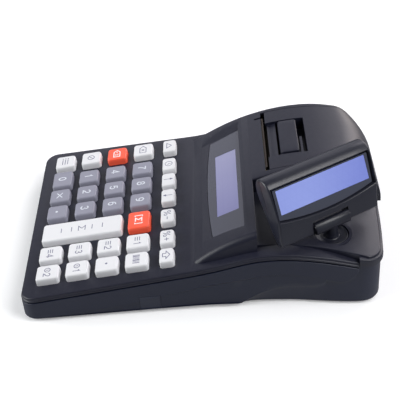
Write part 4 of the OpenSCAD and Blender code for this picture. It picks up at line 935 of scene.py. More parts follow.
def flank_point(band, share, y):
    """Height and inset of the flank at a share of one of its bands, at a place along it."""
    scoop = max(scoop_crease(y), FLOOR_EDGE_Z + 0.05)
    crease = max(band_crease(y), scoop + 0.05, FLOOR_EDGE_Z + 0.1)
    levels = (FLOOR_EDGE_Z, scoop, crease, split_z(y) - SPLIT_GROOVE)
    z = lerp(levels[band], levels[band + 1], share)
    foot = smooth_along(FOOT_INSET, y)
    step = STEP * clamp((y - BAND_START) / 30)
    steps = step + STEP * clamp((y - SCOOP_START) / 4)
    past = clamp((y - BAND_END) / 1.2)
    if band == 0:
        return z, steps + max(0.0, foot + smooth_along(SCOOP_DEPTH, y) - steps) * (1 - share)
    if band == 1:
        draft = foot * 0.45 * (1 - (z - FLOOR_EDGE_Z) / 25)
        return z, lerp(step + draft * (1 - share), steps, past)
    return z, steps * past


def flank_ring(band, share, extra=0.0, height=None):
    half = []
    for (x, y), (xi, yi) in zip(half_plan(0), half_plan(1)):
        z, inset = flank_point(band, share, y)
        d = inset + extra
        half.append((x + (xi - x) * d, y + (yi - y) * d, height(y) if height else z))
    return half + mirrored(half)


def lower_form():
    rows = [flank_ring(0, 0.0, FLOOR_EDGE_R, lambda y: FOOT_H)]
    rows += [flank_ring(0, 0.0, FLOOR_EDGE_R * c, lambda y, s=s: FOOT_H + FLOOR_EDGE_R * s)
             for c, s in quarter(5)[4:0:-1]]
    rows += [flank_ring(band, share) for band in range(3) for share in FLANK_BANDS[band]]
    rows += [flank_ring(2, 1.0, extra, lambda y, d=drop: split_z(y) - d)
             for extra, drop in ((0.2, SPLIT_GROOVE - 0.15), (1.3, SPLIT_GROOVE - 0.2),
                                 (1.4, 0.02))]
    return rings(rows, "strips")


PORT_Y = (64.2, 75.4)
PORT_Z = (FOOT_H + 1, FOOT_H + 10.9)
SOCKETS = ((19, 9, 11), (34, 12, 11), (49, 14, 13))         # middle, width and height
SOCKET_FLOOR, SEAT_GAP = 6.0, 0.15
SCREW_SPOTS = [(sx * x, y, z) for sx in (-1, 1)
               for x, y, z in ((CASE_HALF - 6.4, 8.6, 9.0), (REAR_HALF - 6.2, 176.0, 20.0))]
SCREW_R, SCREW_BOSS_R, SCREW_HEAD_R, SCREW_HEAD_DEEP = 1.6, 3.2, 3.0, 2.1
SCOOP_WALL = (115, 166), (0, 17.5)          # the wall stays thick behind the flank's scoop
FEET = [(-52, 20), (52, 20), (-52, 176), (52, 176)]
FOOT_R, FOOT_SUNK = 5.5, 0.6


def build_lower_case(material):
    floor_z = FOOT_H + WALL_T
    hollow = rings([plan_ring(WALL_T + inset, lambda y, z=z: z) for inset, z in (
        (2.8, floor_z), (1.8, floor_z + 0.9), (0.6, 14.0), (0.5, 60.0))], "strips")
    hollow = cut(hollow, *[box(x, *SCOOP_WALL) for x in ((-90, -56.5), (56.5, 90))])
    bosses = [pillar(x, y, floor_z - 0.5, z, SCREW_BOSS_R, 24) for x, y, z in SCREW_SPOTS]
    ledge = box((SOCKETS[0][0] - 6, SOCKETS[-1][0] + 8), (CASE_L - 20, CASE_L - 7),
                (floor_z - 0.5, SOCKET_FLOOR))
    shell = join(cut(lower_form(), hollow), ledge, *bosses)
    port = box(about(WAIST_HALF, 6), wider(PORT_Y, SEAT_GAP), wider(PORT_Z, SEAT_GAP))
    holes = [box(about(x, w / 2 + SEAT_GAP), (CASE_L - 12, CASE_L + 2),
                 (SOCKET_FLOOR, SOCKET_FLOOR + h + SEAT_GAP)) for x, w, h in SOCKETS]
    for x, y, z in SCREW_SPOTS:
        holes.append(pillar(x, y, -1, z + 1, SCREW_R, 24))
        holes.append(pillar(x, y, -1, FOOT_H + SCREW_HEAD_DEEP, SCREW_HEAD_R, 32))
    holes += [pillar(x, y, -1, FOOT_H + FOOT_SUNK, FOOT_R + 0.1) for x, y in FEET]
    return finished(cut(shell, port, barrel_room(), *holes), "base_shell", "case", material,
                    "base_shell", "lower_case")


def build_port_cover(material):
    form = trim(lower_form(), box(about(WAIST_HALF, 6), PORT_Y, PORT_Z))
    hollow = box((0, side_x(70) - 3.2), (50, 90), (PORT_Z[0] + 1, 40))
    return finished(cut(form, hollow), "port_cover", "case", material, "base_shell",
                    "side_port_cover")


# ---------- Keys ----------

MARK_T, MARK_SUNK = 0.03, 0.05          # printed marks stand this little above a cap
STEM_R, STEM_LOW, SKIRT_LOW = 2.0, -5.4, -2.4
FLANGE_LOW, FLANGE_TOP, FLANGE_OUT = -3.3, -2.3, 0.8
CAP_ROWS = [(SKIRT_LOW, 0.0), (1.0, 0.03), (2.4, 0.1), (3.2, 0.2), (3.55, 0.33), (3.8, 0.5),
            (3.94, 0.72), (4.0, 1.0), (4.0, 1.35)]


def key_body(w, l, stems):
    """A cap with rounded top edges on its skirt, stop flange and stem."""
    cap = rings([at_height(rounded_outline(w - 2 * d, l - 2 * d, max(0.6, 1.7 - d * 0.55), 5), z)
                 for z, d in CAP_ROWS])
    flange = upright(rounded_outline(w + 2 * FLANGE_OUT, l + 2 * FLANGE_OUT, 1.7, 5),
                     FLANGE_LOW, FLANGE_TOP)
    return join(cap, flange, *[pillar(0, y, STEM_LOW, -2.0, STEM_R, 24) for y in stems])


# Marks are drawn with a pen: paths of points in millimetres on the cap, +Y away from
# the operator and +X to the operator's right, laid flat as a printed film.


def bar(a, b, width):
    """A straight pen stroke with square ends."""
    run = hypot(b[0] - a[0], b[1] - a[1])
    ux, uy = (b[0] - a[0]) * width / 2 / run, (b[1] - a[1]) * width / 2 / run
    return [(a[0] - uy, a[1] + ux), (a[0] + uy, a[1] - ux),
            (b[0] + uy, b[1] - ux), (b[0] - uy, b[1] + ux)]


def ribbon(path, width, closed=False):
    """A pen line through points, with mitred corners: its two edges and if it closes."""
    n, left, right = len(path), [], []
    for i, (x, y) in enumerate(path):
        steps = []
        for k in (i - 1, i):
            if closed or 0 <= k < n - 1:
                (px, py), (qx, qy) = path[k], path[(k + 1) % n]
                run = hypot(qx - px, qy - py)
                steps.append(((qx - px) / run, (qy - py) / run))
        tx, ty = sum(s[0] for s in steps), sum(s[1] for s in steps)
        run = hypot(tx, ty)
        tx, ty = tx / run, ty / run
        h = width / 2 / max(0.35, tx * steps[0][0] + ty * steps[0][1])
        left.append((x - ty * h, y + tx * h))
        right.append((x + ty * h, y - tx * h))
    return left, right, closed


def loop(cx, cy, rx, ry, n):
    """A closed oval path."""
    return arc(cx, cy, rx, ry, 0, 360, n)[:-1], True


# Digits on a cell 1 wide and 1.6 tall about its middle, as pen paths that close or not
DIGITS = {
    "0": [loop(0, 0, 0.5, 0.8, 28)],
    "1": [([(-0.34, 0.46), (-0.1, 0.58), (0.06, 0.8), (0.06, -0.86)], False)],
    "2": [(arc(0, 0.33, 0.48, 0.47, 172, -8, 12) + [(0.3, -0.1), (-0.32, -0.52), (-0.46, -0.8),
                                                    (0.56, -0.8)], False)],
    "3": [(arc(-0.02, 0.4, 0.42, 0.4, 165, -75, 12) + [(-0.12, 0.04)], False),
          ([(-0.12, 0.04)] + arc(-0.02, -0.36, 0.5, 0.44, 75, -165, 14), False)],
    "4": [([(0.62, -0.38), (-0.56, -0.38), (0.2, 0.8), (0.2, -0.86)], False)],
    "5": [([(0.46, 0.8), (-0.3, 0.8), (-0.42, 0.04)] + arc(0, -0.28, 0.5, 0.52, 135, -155, 14),
           False)],
    "6": [loop(0, -0.3, 0.49, 0.5, 24),
          ([(-0.49, -0.3)] + arc(0.12, -0.1, 0.6, 0.9, 175, 62, 12), False)],
    "7": [([(-0.5, 0.8), (0.5, 0.8), (0.1, 0.2), (-0.08, -0.3), (-0.14, -0.86)], False)],
    "8": [loop(0, 0.4, 0.42, 0.4, 22), loop(0, -0.37, 0.5, 0.43, 24)],
    "9": [loop(0, 0.3, 0.49, 0.5, 24),
          ([(0.49, 0.3)] + arc(-0.12, 0.1, 0.6, 0.9, -5, -118, 12), False)],
}


def digit(char, x, height, pen):
    k = (height - pen) / 1.6
    return [ribbon([(x + px * k * 0.94, py * k) for px, py in path], pen, closed)
            for path, closed in DIGITS[char]]


def percent(x, height, pen):
    k = height / 2
    return [bar((x - 0.52 * k, -k), (x + 0.52 * k, k), pen)] + [
        ribbon(loop(x - side * 0.62 * k, side * 0.5 * k, 0.36 * k, 0.42 * k, 18)[0], pen, True)
        for side in (1, -1)]


def sigma(w, h, pen):
    p, q = w / 2, h / 2
    return [ribbon([(p, q - 0.1 * h), (p, q), (-p, q), (0.1 * w, 0), (-p, -q), (p, -q),
                    (p, 0.1 * h - q)], pen)]


def arrow(way):
    tip = 2.9 * way
    return [bar((0, -2.7 * way), (0, tip - 0.5 * way), 0.34),
            [(0, tip), (-0.95, tip - 1.9 * way), (0.95, tip - 1.9 * way)][::way]]


def rows_of(xs, ys, pen):
    return [bar((xs[0], y), (xs[1], y), pen) for y in ys]


PEN = 0.42
MARKS = {
    "multiply": [bar((-2.2, k * -1.7), (2.2, k * 1.7), 0.58) for k in (1, -1)],
    "point": [circle(0, -0.2, 0.75, 24)],
    "dot": [circle(0, 0, 0.65, 20)],
    "total": sigma(3.6, 3.9, PEN) + rows_of((-1.9, 1.9), (-12.0, -6.0, 6.0, 12.0), PEN),
    "subtotal": sigma(2.6, 3.6, 0.72) + [
        ribbon([(2.6 * k, 2.1), (3.5 * k, 2.1), (3.5 * k, -2.1), (2.6 * k, -2.1)][::k], 0.6)
        for k in (-1, 1)],
    "price": [ribbon([(-3.4, 0), (-1.6, 1.9), (3.3, 1.9), (3.3, -1.9), (-1.6, -1.9)], 0.62, True),
              circle(-1.5, 0, 0.55, 18), *rows_of((0.2, 2.1), (0.6, -0.6), 0.5)],
    "barcode": [bar((x, -1.9), (x, 1.9), w) for x, w in (
        (-3.2, 0.35), (-2.35, 0.7), (-1.3, 0.35), (-0.4, 0.35), (0.7, 0.8), (1.8, 0.35),
        (2.9, 0.55))],
    "price_lookup": [shape for y in (-1.6, 0.0, 1.6)
                     for shape in (circle(-2.9, y, 0.34, 14), bar((-1.9, y), (3.1, y), PEN))],
    "void": [ribbon(circle(0, 0, 2.0, 36), PEN, True), bar((-1.45, -1.45), (1.45, 1.45), PEN)],
    "clear": [ribbon([(-3.5, 0), (-1.5, 1.95), (3.2, 1.95), (3.2, -1.95), (-1.5, -1.95)], PEN,
                     True)] + [bar((-0.3, -0.85 * k), (1.4, 0.85 * k), PEN) for k in (1, -1)],
    "feed": [ribbon([(-2.5, -1.5), (2.5, -1.5), (0, 1.5)], PEN, True)],
    "clock": [ribbon(circle(0, 0, 2.15, 36), 0.34, True),
              ribbon([(0, 1.35), (0, 0), (1.1, -0.65)], 0.34)],
    "up": arrow(1),
    "down": arrow(-1),
    "minus_percent": percent(-1.9, 4.0, 0.4) + [bar((1.3, 0), (3.5, 0), 0.45)],
    "plus_percent": percent(-1.9, 4.0, 0.4) + [bar((1.2, 0), (3.6, 0), 0.45),
                                               bar((2.4, -1.2), (2.4, 1.2), 0.45)],
    "shift": [ribbon([(0, 2.0), (-3.1, -0.1), (-1.3, -0.1), (-1.3, -2.0), (1.3, -2.0),
                      (1.3, -0.1), (3.1, -0.1)], PEN, True)],
}
for char in DIGITS:
    MARKS[char] = digit(char, 0, 5.0, 0.66)
for char in "1234":
    MARKS["dept_" + char] = rows_of((-3.0, 0.0), (-1.25, 0.0, 1.25), PEN) + digit(
        char, 2.3, 4.2, 0.45)
    MARKS["pay_" + char] = [ribbon(circle(-1.5, 0, 1.55, 28), PEN, True),
                            bar((-1.5, -0.8), (-1.5, 0.8), PEN), *digit(char, 2.3, 4.2, 0.45)]


def printed(shapes):
    """Lays pen strokes as thin films on a cap, all in one mesh."""
    low, top = KEY_RISE - MARK_SUNK, KEY_RISE + MARK_T
    points, faces = [], []
    for shape in shapes:
        line = isinstance(shape, tuple)
        outline = shape[0] + shape[1] if line else shape
        base, up = len(points), len(outline)
        points += at_height(outline, low) + at_height(outline, top)
        if not line:
            faces.append(tuple(range(base + up - 1, base - 1, -1)))
            faces.append(tuple(range(base + up, base + 2 * up)))
            faces += [(base + i, base + (i + 1) % up, base + up + (i + 1) % up, base + up + i)
                      for i in range(up)]
            continue
        n, closed = len(shape[0]), shape[2]
        for i in range(n if closed else n - 1):
            k = (i + 1) % n
            a, b, c, d = base + i, base + k, base + n + k, base + n + i
            faces += [(a, d, c, b), (a + up, b + up, c + up, d + up),
                      (a, b, b + up, a + up), (d, d + up, c + up, c)]
        if not closed:
            for a, flip in ((base, 1), (base + n - 1, -1)):
                faces.append((a, a + up, a + n + up, a + n)[::flip])
    return settle(new_object("marks", points, faces), False)


CAP = {"white": (cap_white, "key_white", print_ink), "grey": (cap_grey, "key_grey", print_light),
       "red": (cap_red, "key_red", print_white)}


def build_keys():
    for name, finish, x, y, w, l in KEYS:
        stems = (-ROW_PITCH, ROW_PITCH) if name == "total" else (0,)
        seat = ON_DECK @ Matrix.Translation((x, y, 0))
        material, slot, ink = CAP[finish]
        node = "key_" + name
        finished(moved(key_body(w, l, stems), seat), node + "_cap", node, material, slot, node,
                 sharp=40)
        finished(moved(printed(MARKS[name]), seat), node + "_mark", node, ink, slot,
                 smooth=False)


# ---------- Printer cover, lever and tear-off bar ----------

LEVER_W, LEVER_L, LEVER_FRONT, LEVER_T, LEVER_RISE = 31.8, 10.6, COVER_FRONT + 7.1, 3.0, 0.4
LEVER_PIN_Y = LEVER_FRONT + 1.5
LEVER_PIN_Z = hump_z(LEVER_PIN_Y) - 1.9
BOSS_W, BOSS_HALF, CHEEK_R, CHEEK_OUT, CHEEK_T = 3.2, 2.2, 3.3, 27.4, 1.8
SHAFT_BORE_R, LEVER_BORE_R, PIN_BORE_R = 1.7, 1.3, 1.62
LIP_Y, LIP_DROP, LIP_SAG, LIP_T = (COVER_FRONT + 0.9, COVER_FRONT + 5.8), 1.5, 0.55, 1.0
TEAR_W, TOOTH_W, TOOTH_H = 49.0, 0.9, 0.45
GUIDE_FRONT, GUIDE_REAR, GUIDE_WALL = 147.9, 162.4, 150.2
GUIDE_LOW, GUIDE_TOP = 42.4, 43.4
ROLL_Y, ROLL_Z, ROLL_R, ROLL_HALF, CORE_R, CORE_BORE_R = 168.1, 21.3, 15.0, 28.5, 6.2, 5.2
PAPER_STEP = 0.12           # how much the roll's radius loses over its last turn


def build_printer_cover(material):
    skin = cut(trim(printer_hump(0), cover_block(0, COVER_HEM, ABOVE + 5)), printer_hump(COVER_T))
    web = trim(across(BARREL_LEFT, COVER_RIGHT,
                      [(HINGE_Y - 2.6, HINGE_Z + 1), (HINGE_Y - 1.6, COVER_HEM + 8),
                       (CASE_L, COVER_HEM + 4), (CASE_L, COVER_HEM), (HINGE_Y + 2.6, HINGE_Z + 1)]),
               printer_hump(0.3))
    pieces = [rod(BARREL_LEFT, COVER_RIGHT, HINGE_Y, HINGE_Z, BARREL_R), web]
    for x in (PRINTER_X - CHEEK_OUT, PRINTER_X + CHEEK_OUT - CHEEK_T):
        pieces.append(rod(x, x + CHEEK_T, PLATEN_Y, PLATEN_Z, CHEEK_R))
        pieces.append(box((x, x + CHEEK_T), about(PLATEN_Y, CHEEK_R),
                          (PLATEN_Z, hump_z(PLATEN_Y) - 1)))
    for x in (WINDOW[0] - BOSS_W, WINDOW[1]):
        pieces.append(box((x, x + BOSS_W), about(LEVER_PIN_Y, BOSS_HALF),
                          (LEVER_PIN_Z - BOSS_HALF, hump_z(LEVER_PIN_Y) - 1)))
    shell = join(skin, *pieces)
    opening = box(WINDOW, (COVER_FRONT - 1, COVER_FRONT + WINDOW_L), (30, ABOVE))
    shaft = rod(*wider(COVER_X, 1), PLATEN_Y, PLATEN_Z, SHAFT_BORE_R, 24)
    trunnion = rod(*wider(WINDOW, BOSS_W + 1), LEVER_PIN_Y, LEVER_PIN_Z, LEVER_BORE_R, 24)
    pin = rod(BARREL_LEFT - 1, COVER_RIGHT + 1, HINGE_Y, HINGE_Z, PIN_BORE_R, 24)
    lug_room = box((COVER_LEFT - 1, BARREL_LEFT), (BAY_REAR, CASE_L + 2), (0, HINGE_Z + 5))
    shell = cut(shell, opening, shaft, trunnion, pin, lug_room)
    lip = [(lerp(*LIP_Y, i / 6), LIP_DROP + LIP_SAG * sin(pi * i / 6)) for i in range(7)]
    lip = [(y, hump_z(y) - drop) for y, drop in lip]
    apron = across(*wider(WINDOW, 0.5), lip + [(y, z - LIP_T) for y, z in lip[::-1]])
    front_z, rear_z = hump_z(COVER_FRONT), hump_z(COVER_FRONT + WINDOW_L)
    nib = box((WINDOW[0] + 0.3, WINDOW[0] + 1.9), (COVER_FRONT + 1.6, COVER_FRONT + 2.3),
              (front_z - 2.4, front_z - 1.0))
    rib = box((PRINTER_X + 0.7, WINDOW[1] + 0.5),
              (COVER_FRONT + WINDOW_L - 3.6, COVER_FRONT + WINDOW_L - 2.2),
              (rear_z - 4, rear_z - 1))
    # Paper guide that closes the window from below
    guide_x = wider(WINDOW, 1)
    guide = [box(guide_x, (GUIDE_FRONT, GUIDE_REAR), (GUIDE_LOW, GUIDE_TOP)),
             box(guide_x, (GUIDE_REAR - 1.1, GUIDE_REAR), (GUIDE_TOP - 0.4, rear_z - 1.2))]
    guide += [box((x, x + 1), (GUIDE_WALL, GUIDE_REAR), (GUIDE_TOP - 0.4, rear_z - 1.2))
              for x in (WINDOW[0] - 1, WINDOW[1])]
    return finished(join(shell, apron, nib, rib, *guide), "cover_shell", "cover", material,
                    "top_shell", "printer_cover")


def build_lever(material):
    """Release tab with rounded corners, arched to the hump, on two trunnions."""
    middle, end = LEVER_FRONT + LEVER_L / 2, LEVER_FRONT + LEVER_L
    rows = []
    for depth, drop in [(0.0, LEVER_T), (0.0, 0.5)] + [(0.45 * c, 0.45 * s)
                                                       for c, s in quarter(4)]:
        ring = rounded_outline(LEVER_W - 2 * depth, LEVER_L - 2 * depth, 1.5 - 0.6 * depth, 5,
                               PRINTER_X, middle)
        rows.append([(x, y, hump_z(y) + LEVER_RISE - drop) for x, y in ring])
    rows += [[(lerp(PRINTER_X, x, s), lerp(middle, y, s), hump_z(lerp(middle, y, s)) + LEVER_RISE)
              for x, y in ring] for s in (0.8, 0.5, 0.2)]
    pin = rod(*wider(WINDOW, BOSS_W - 0.2), LEVER_PIN_Y, LEVER_PIN_Z, LEVER_BORE_R - 0.2, 24)
    grips = [rod(*about(PRINTER_X, 11), end - 1.6 - 1.3 * i, hump_z(end) + LEVER_RISE - 3.1,
                 0.35, 12) for i in range(3)]
    return finished(join(rings(rows), pin, *grips), "lever_tab", "lever", material, "top_shell",
                    "release_lever")


def build_tear_bar(material):
    """Stamped bar with a row of fine teeth along its top."""
    top, y0 = hump_z(SLOT_FRONT) - 0.35, SLOT_FRONT + 0.5
    root, low = top - TOOTH_H, PLATEN_Z + 3.8
    (left, right), n = about(PRINTER_X, TEAR_W / 2), int(TEAR_W / TOOTH_W)
    outline = [(left, low), (right, low), (right, root)]
    for i in range(n):
        x = right - TOOTH_W * (i + 0.5) - (TEAR_W - n * TOOTH_W) / 2
        outline += [(x, top), (x - TOOTH_W / 2, root)]
    outline.append((left, root))
    comb = rings([[(x, y, z) for x, z in outline] for y in (y0, y0 + 0.8)])
    return finished(comb, "tear_teeth", "case", material, "tear_steel", "tear_bar", smooth=False)


def build_paper_roll(material, core):
    """A thermal roll on its core, whose radius steps in a little over its last turn."""
    x0, x1 = about(PRINTER_X, ROLL_HALF)
    turns = [(ROLL_R - PAPER_STEP * i / 48, tau * i / 48) for i in range(48)]
    roll = across(x0, x1, [(ROLL_Y + r * cos(a), ROLL_Z + r * sin(a)) for r, a in turns])
    roll = cut(roll, rod(x0 - 1, x1 + 1, ROLL_Y, ROLL_Z, CORE_R))
    tube = cut(rod(x0 - 0.01, x1 + 0.01, ROLL_Y, ROLL_Z, CORE_R),
               rod(x0 - 1, x1 + 1, ROLL_Y, ROLL_Z, CORE_BORE_R))
    finished(roll, "paper_turns", "roll", material, "paper", "paper_roll")
    finished(tube, "paper_core", "roll", core, "paper")


# ---------- Operator display ----------


def pane(size, r, z0, z1, *steps, at=(0, 0)):
    """A slab with rounded corners."""
    return moved(upright(rounded_outline(*size, r, 6, *at), z0, z1), *steps)


PANE_SIZE, PANE_HOLE = [(GLASS_W + gap, GLASS_H + gap) for gap in (0.3, 0.4)]


def build_operator_display(tint, glass, case):
    plate = cut(upright(lens_outline(0), -LENS_T, 0),
                pane(PANE_HOLE, 0.4, -5, 5, TO_GLASS))
    finished(moved(plate, ON_LENS), "operator_lens_plate", "case", tint, "window",
             "operator_lens")
    finished(pane(PANE_SIZE, 0.35, -3.2, -0.12, TO_GLASS, ON_LENS), "operator_glass_pane",
             "case", glass, "operator_glass", "operator_lcd")
    finished(pane((66, 21), 1.0, -8.2, -3.2, TO_GLASS, ON_LENS), "operator_glass_frame", "case",
             case, "operator_glass")


# ---------- Customer display head ----------

# Which way the head's right, its up and its face point at rest
HEAD_AXES = ((-0.49849, 0.86690, 0.0), (-0.37594, -0.21617, 0.90108),
             (0.78114, 0.44918, 0.43366))
ON_HEAD = (Matrix.Translation((SWIVEL_X, SWIVEL_Y, TILT_Z))
           @ Matrix(HEAD_AXES).transposed().to_4x4())
LEFT_EDGE = [(-3.4, -32.0), (3.0, -31.9), (11.0, -31.5), (26.0, -31.7), (34.5, -31.9)]
RIGHT_EDGE = [(-3.4, 30.7), (3.0, 31.1), (11.0, 31.9), (26.0, 32.9), (34.5, 33.2)]
# Height and depth round the head's end, from the foot of the face up and over
HEAD_SIDE = [(-3.3, -1.1), (-2.9, -0.65), (0.0, -0.1), (4.0, 0.75), (8.0, 1.55), (10.4, 2.02),
             (11.6, 2.1), (13.2, 1.9), (18.0, 1.6), (23.0, 1.3), (26.5, 0.85), (28.4, 0.35),
             (30.0, -0.4), (31.3, -1.25), (32.3, -2.3), (33.1, -3.8), (33.7, -5.4), (34.0, -7.0),
             (33.95, -8.4), (33.5, -9.7), (32.6, -10.9), (31.2, -12.0), (29.5, -12.7),
             (27.0, -13.1), (23.6, -13.1), (20.0, -12.5), (15.0, -11.4), (11.0, -10.4),
             (7.0, -9.2), (4.0, -8.1), (1.0, -6.9), (-1.2, -5.8), (-2.6, -4.8), (-3.3, -3.8)]
FACE = HEAD_SIDE[:17]
END_R = 1.1
SEAM_D, SEAM_HALF = -7.0, 0.12
LENS_LEFT, LENS_RIGHT = -29.5, 30.7
LENS_B, LENS_TOP_B, LENS_DIP = 11.2, 27.5, 3.4
RIM_STEPS = [(0.95, -0.3), (1.3, 0.06), (1.35, 6.0)]        # the sunk rim round the lens
GLASS_MIDDLE = (0.55, 20.1)
POCKET = (-30.4, 30.4), (6.6, 29.6)         # room for the display inside the head
NOTCH_HALF, NOTCH_TOP = 11.4, 3.9
TILT_PIN_HALF, TILT_PIN_R = 11.25, 1.5
KNUCKLE_FRONT = (0.1, -0.6, 2.35, 2.35)     # middle and radii of its round side
KNUCKLE_BACK = [(-2.4, 1.75), (-3.5, 1.45), (-3.95, 1.0), (-4.1, 0.3), (-4.1, -1.4),
                (-3.7, -2.3), (-2.6, -2.8)]
KNUCKLE_ENDS = [(-11.0, 0.85), (-10.87, 1 - 0.14 / 3), (-10.6, 1.0)]    # place and share
POST_STEPS = [(8.9, 0.1), (8.9, 1.2), (8.78, 1.45), (8.5, 1.58), (8.15, 1.5), (7.95, 1.1),
              (7.6, 0.9), (4.7, 0.85), (4.25, 1.2), (3.95, 2.2), (3.4, 3.6), (3.1, 8.6)]


def head_form(inset=0.0):
    """The head as one closed form with rounded ends, drawn in all round by inset."""
    cb, cd = (sum(row) / len(HEAD_SIDE) for row in zip(*HEAD_SIDE))

    def drawn_in(depth):
        out = []
        for i, (b, d) in enumerate(HEAD_SIDE):
            (pb, pd), (qb, qd) = HEAD_SIDE[i - 1], HEAD_SIDE[(i + 1) % len(HEAD_SIDE)]
            run = hypot(qb - pb, qd - pd)
            nb, nd = (qd - pd) / run, -(qb - pb) / run
            side = -1 if nb * (cb - b) + nd * (cd - d) < 0 else 1
            out.append((b + side * nb * depth, d + side * nd * depth))
        return out
    # Share of the way to the right end, depth all round and shift along, for each ring
    ends = [(END_R * s, END_R * c + inset) for c, s in quarter(5)]
    places = [(0.0, depth, shift) for depth, shift in ends]
    places += [(share, 0.0, 0.0) for share in (0.15, 0.35, 0.5, 0.65, 0.85)]
    places += [(1.0, depth, -shift) for depth, shift in reversed(ends)]
    return rings([[(lerp(along(LEFT_EDGE, b), along(RIGHT_EDGE, b), share) + shift, b, d)
                   for b, d in drawn_in(depth + inset)] for share, depth, shift in places])


def head_window(gap):
    """Outline of the customer lens: square at the top, bowed along the bottom."""
    left, right, top = LENS_LEFT - gap, LENS_RIGHT + gap, LENS_TOP_B + gap
    return bowed(left, right - 0.7, LENS_B - gap, LENS_DIP, 16) + [
        (right, top), (left + 0.1, top)]


def build_head(shell_material, tint, glass, circuit):
    rows = [at_height(head_window(0.12), -1.75)]
    for gap, rise in RIM_STEPS:
        rows.append([(x, y, along(FACE, y) + rise) for x, y in head_window(gap)])
    notch = join(box((-NOTCH_HALF, NOTCH_HALF), (-12, NOTCH_TOP), (-20, 8)),
                 rod(-NOTCH_HALF, NOTCH_HALF, 0, 0, 3.8, 40))
    shells = cut(head_form(), rings(rows), box(*POCKET, (-9.5, -1.5)), notch)
    spare = linked(shells.copy())
    spare.data = shells.data.copy()

    def slice_of(form, low, high):
        return trim(form, box((-50, 50), (-20, 50), (low, high)))
    front = slice_of(shells, SEAM_D + SEAM_HALF, 20)
    rear = slice_of(spare, -30, SEAM_D - SEAM_HALF)
    core = cut(slice_of(head_form(0.45), SEAM_D - 1.2, SEAM_D + 1.2),
               box(*POCKET, (-12, 0)),
               box((-NOTCH_HALF - 0.4, NOTCH_HALF + 0.4), (-12, NOTCH_TOP + 0.4), (-20, 8)))
    plate = cut(upright(head_window(0.0), -1.6, -0.1),
                pane(PANE_HOLE, 0.35, -5, 5, at=GLASS_MIDDLE))
    pieces = [(front, "head_front", shell_material, "gloss_shell", "head_front_shell"),
              (join(rear, core), "head_rear", shell_material, "gloss_shell", "head_rear_shell"),
              (plate, "head_lens_plate", tint, "window", "head_lens"),
              (pane(PANE_SIZE, 0.3, -3.4, -0.2, at=GLASS_MIDDLE),
               "head_glass_pane", glass, "customer_glass", "head_lcd"),
              (pane((GLASS_W + 3, GLASS_H + 4), 0.8, -7.4, -3.4, at=(0, GLASS_MIDDLE[1])),
               "head_glass_frame", circuit, "customer_glass")]
    for obj, name, *rest in pieces:
        finished(moved(obj, ON_HEAD), name, "head", *rest)


def build_post(material):
    """Swivel disc with turned steps, neck and the knuckle that the head tilts on."""
    disc = rings([at_height(circle(SWIVEL_X, SWIVEL_Y, r, 64), DISH_Z + z)
                  for r, z in POST_STEPS])
    spindle = pillar(SWIVEL_X, SWIVEL_Y, DISH_Z - 8.0, DISH_Z + 1.0, SPINDLE_R)
    side = arc(*KNUCKLE_FRONT, -90, 90, 18) + KNUCKLE_BACK
    cb, cd = -0.7, -0.6
    rows = [[(a, cb + (b - cb) * k, cd + (d - cd) * k) for b, d in side]
            for a, k in KNUCKLE_ENDS + [(-a, k) for a, k in reversed(KNUCKLE_ENDS)]]
    finished(moved(rod(-TILT_PIN_HALF, TILT_PIN_HALF, 0, 0, TILT_PIN_R, 24), ON_HEAD),
             "tilt_pin_turned", "head", material, "steel", "tilt_pin")
    finished(join(disc, spindle, moved(rings(rows), ON_HEAD)), "swivel_post_turned", "post",
             material, "gloss_shell", "swivel_post")


# ---------- Floor, light and camera ----------

SHEET_HALF, SHEET_BACK, SHEET_R, SHEET_H = 2.4, -1.5, 0.6, 2.2
CAST_RANGE, CAST_NEAR, CAST_FAR = (0.13, 0.34), 0.62, 0.06
WORLD_CAST, WORLD_SEEN = 0.02, 1.0

# Where the camera stands in metres, and which way its right, its up and its back point
CAMERA_AT = (0.45582, 0.01503, 0.38180)
CAMERA_AXES = ((0.00854, 0.99821, -0.05923), (-0.6159, 0.0519, 0.7861),
               (0.78777, 0.02977, 0.61525))

# Place, aim, width, height, power and colour, in metres and watts
LIGHTS = {
    "main_softbox": ((0.5, 0.95, 1.05), (0.03, 0.05, 0.06), 0.75, 1.3, 17.5, (1, 1, 1)),
    "front_softbox": ((0.1, -1.3, 0.55), (0, 0, 0.02), 0.95, 0.95, 19.0, (0.98, 1.0, 1.0)),
    "far_softbox": ((-1.35, -0.2, 0.75), (0, 0, 0.1), 1.7, 1.0, 4.1, (0.93, 0.93, 1.0)),
    "far_low_card": ((-1.4, -0.5, 0.3), (0, 0, 0.04), 1.0, 0.4, 1.0, (0.9, 0.9, 1.0)),
    "far_rear_softbox": ((-1.0, 0.95, 0.7), (0, 0.05, 0.08), 1.1, 1.1, 9.5, (0.96, 0.94, 1.0)),
    "warm_card": ((-1.15, 0.85, 0.28), (0, 0.05, 0.06), 0.7, 0.45, 3.0, (1.0, 0.86, 0.78)),
    "rear_fill": ((0.85, 1.15, 0.3), (0.04, 0.06, 0.06), 1.0, 1.0, 1.7, (0.8, 0.88, 1.0)),
    "top_softbox": ((0.0, 0.05, 1.2), (0, 0, 0), 1.6, 1.6, 1.2, (1, 1, 1)),
}


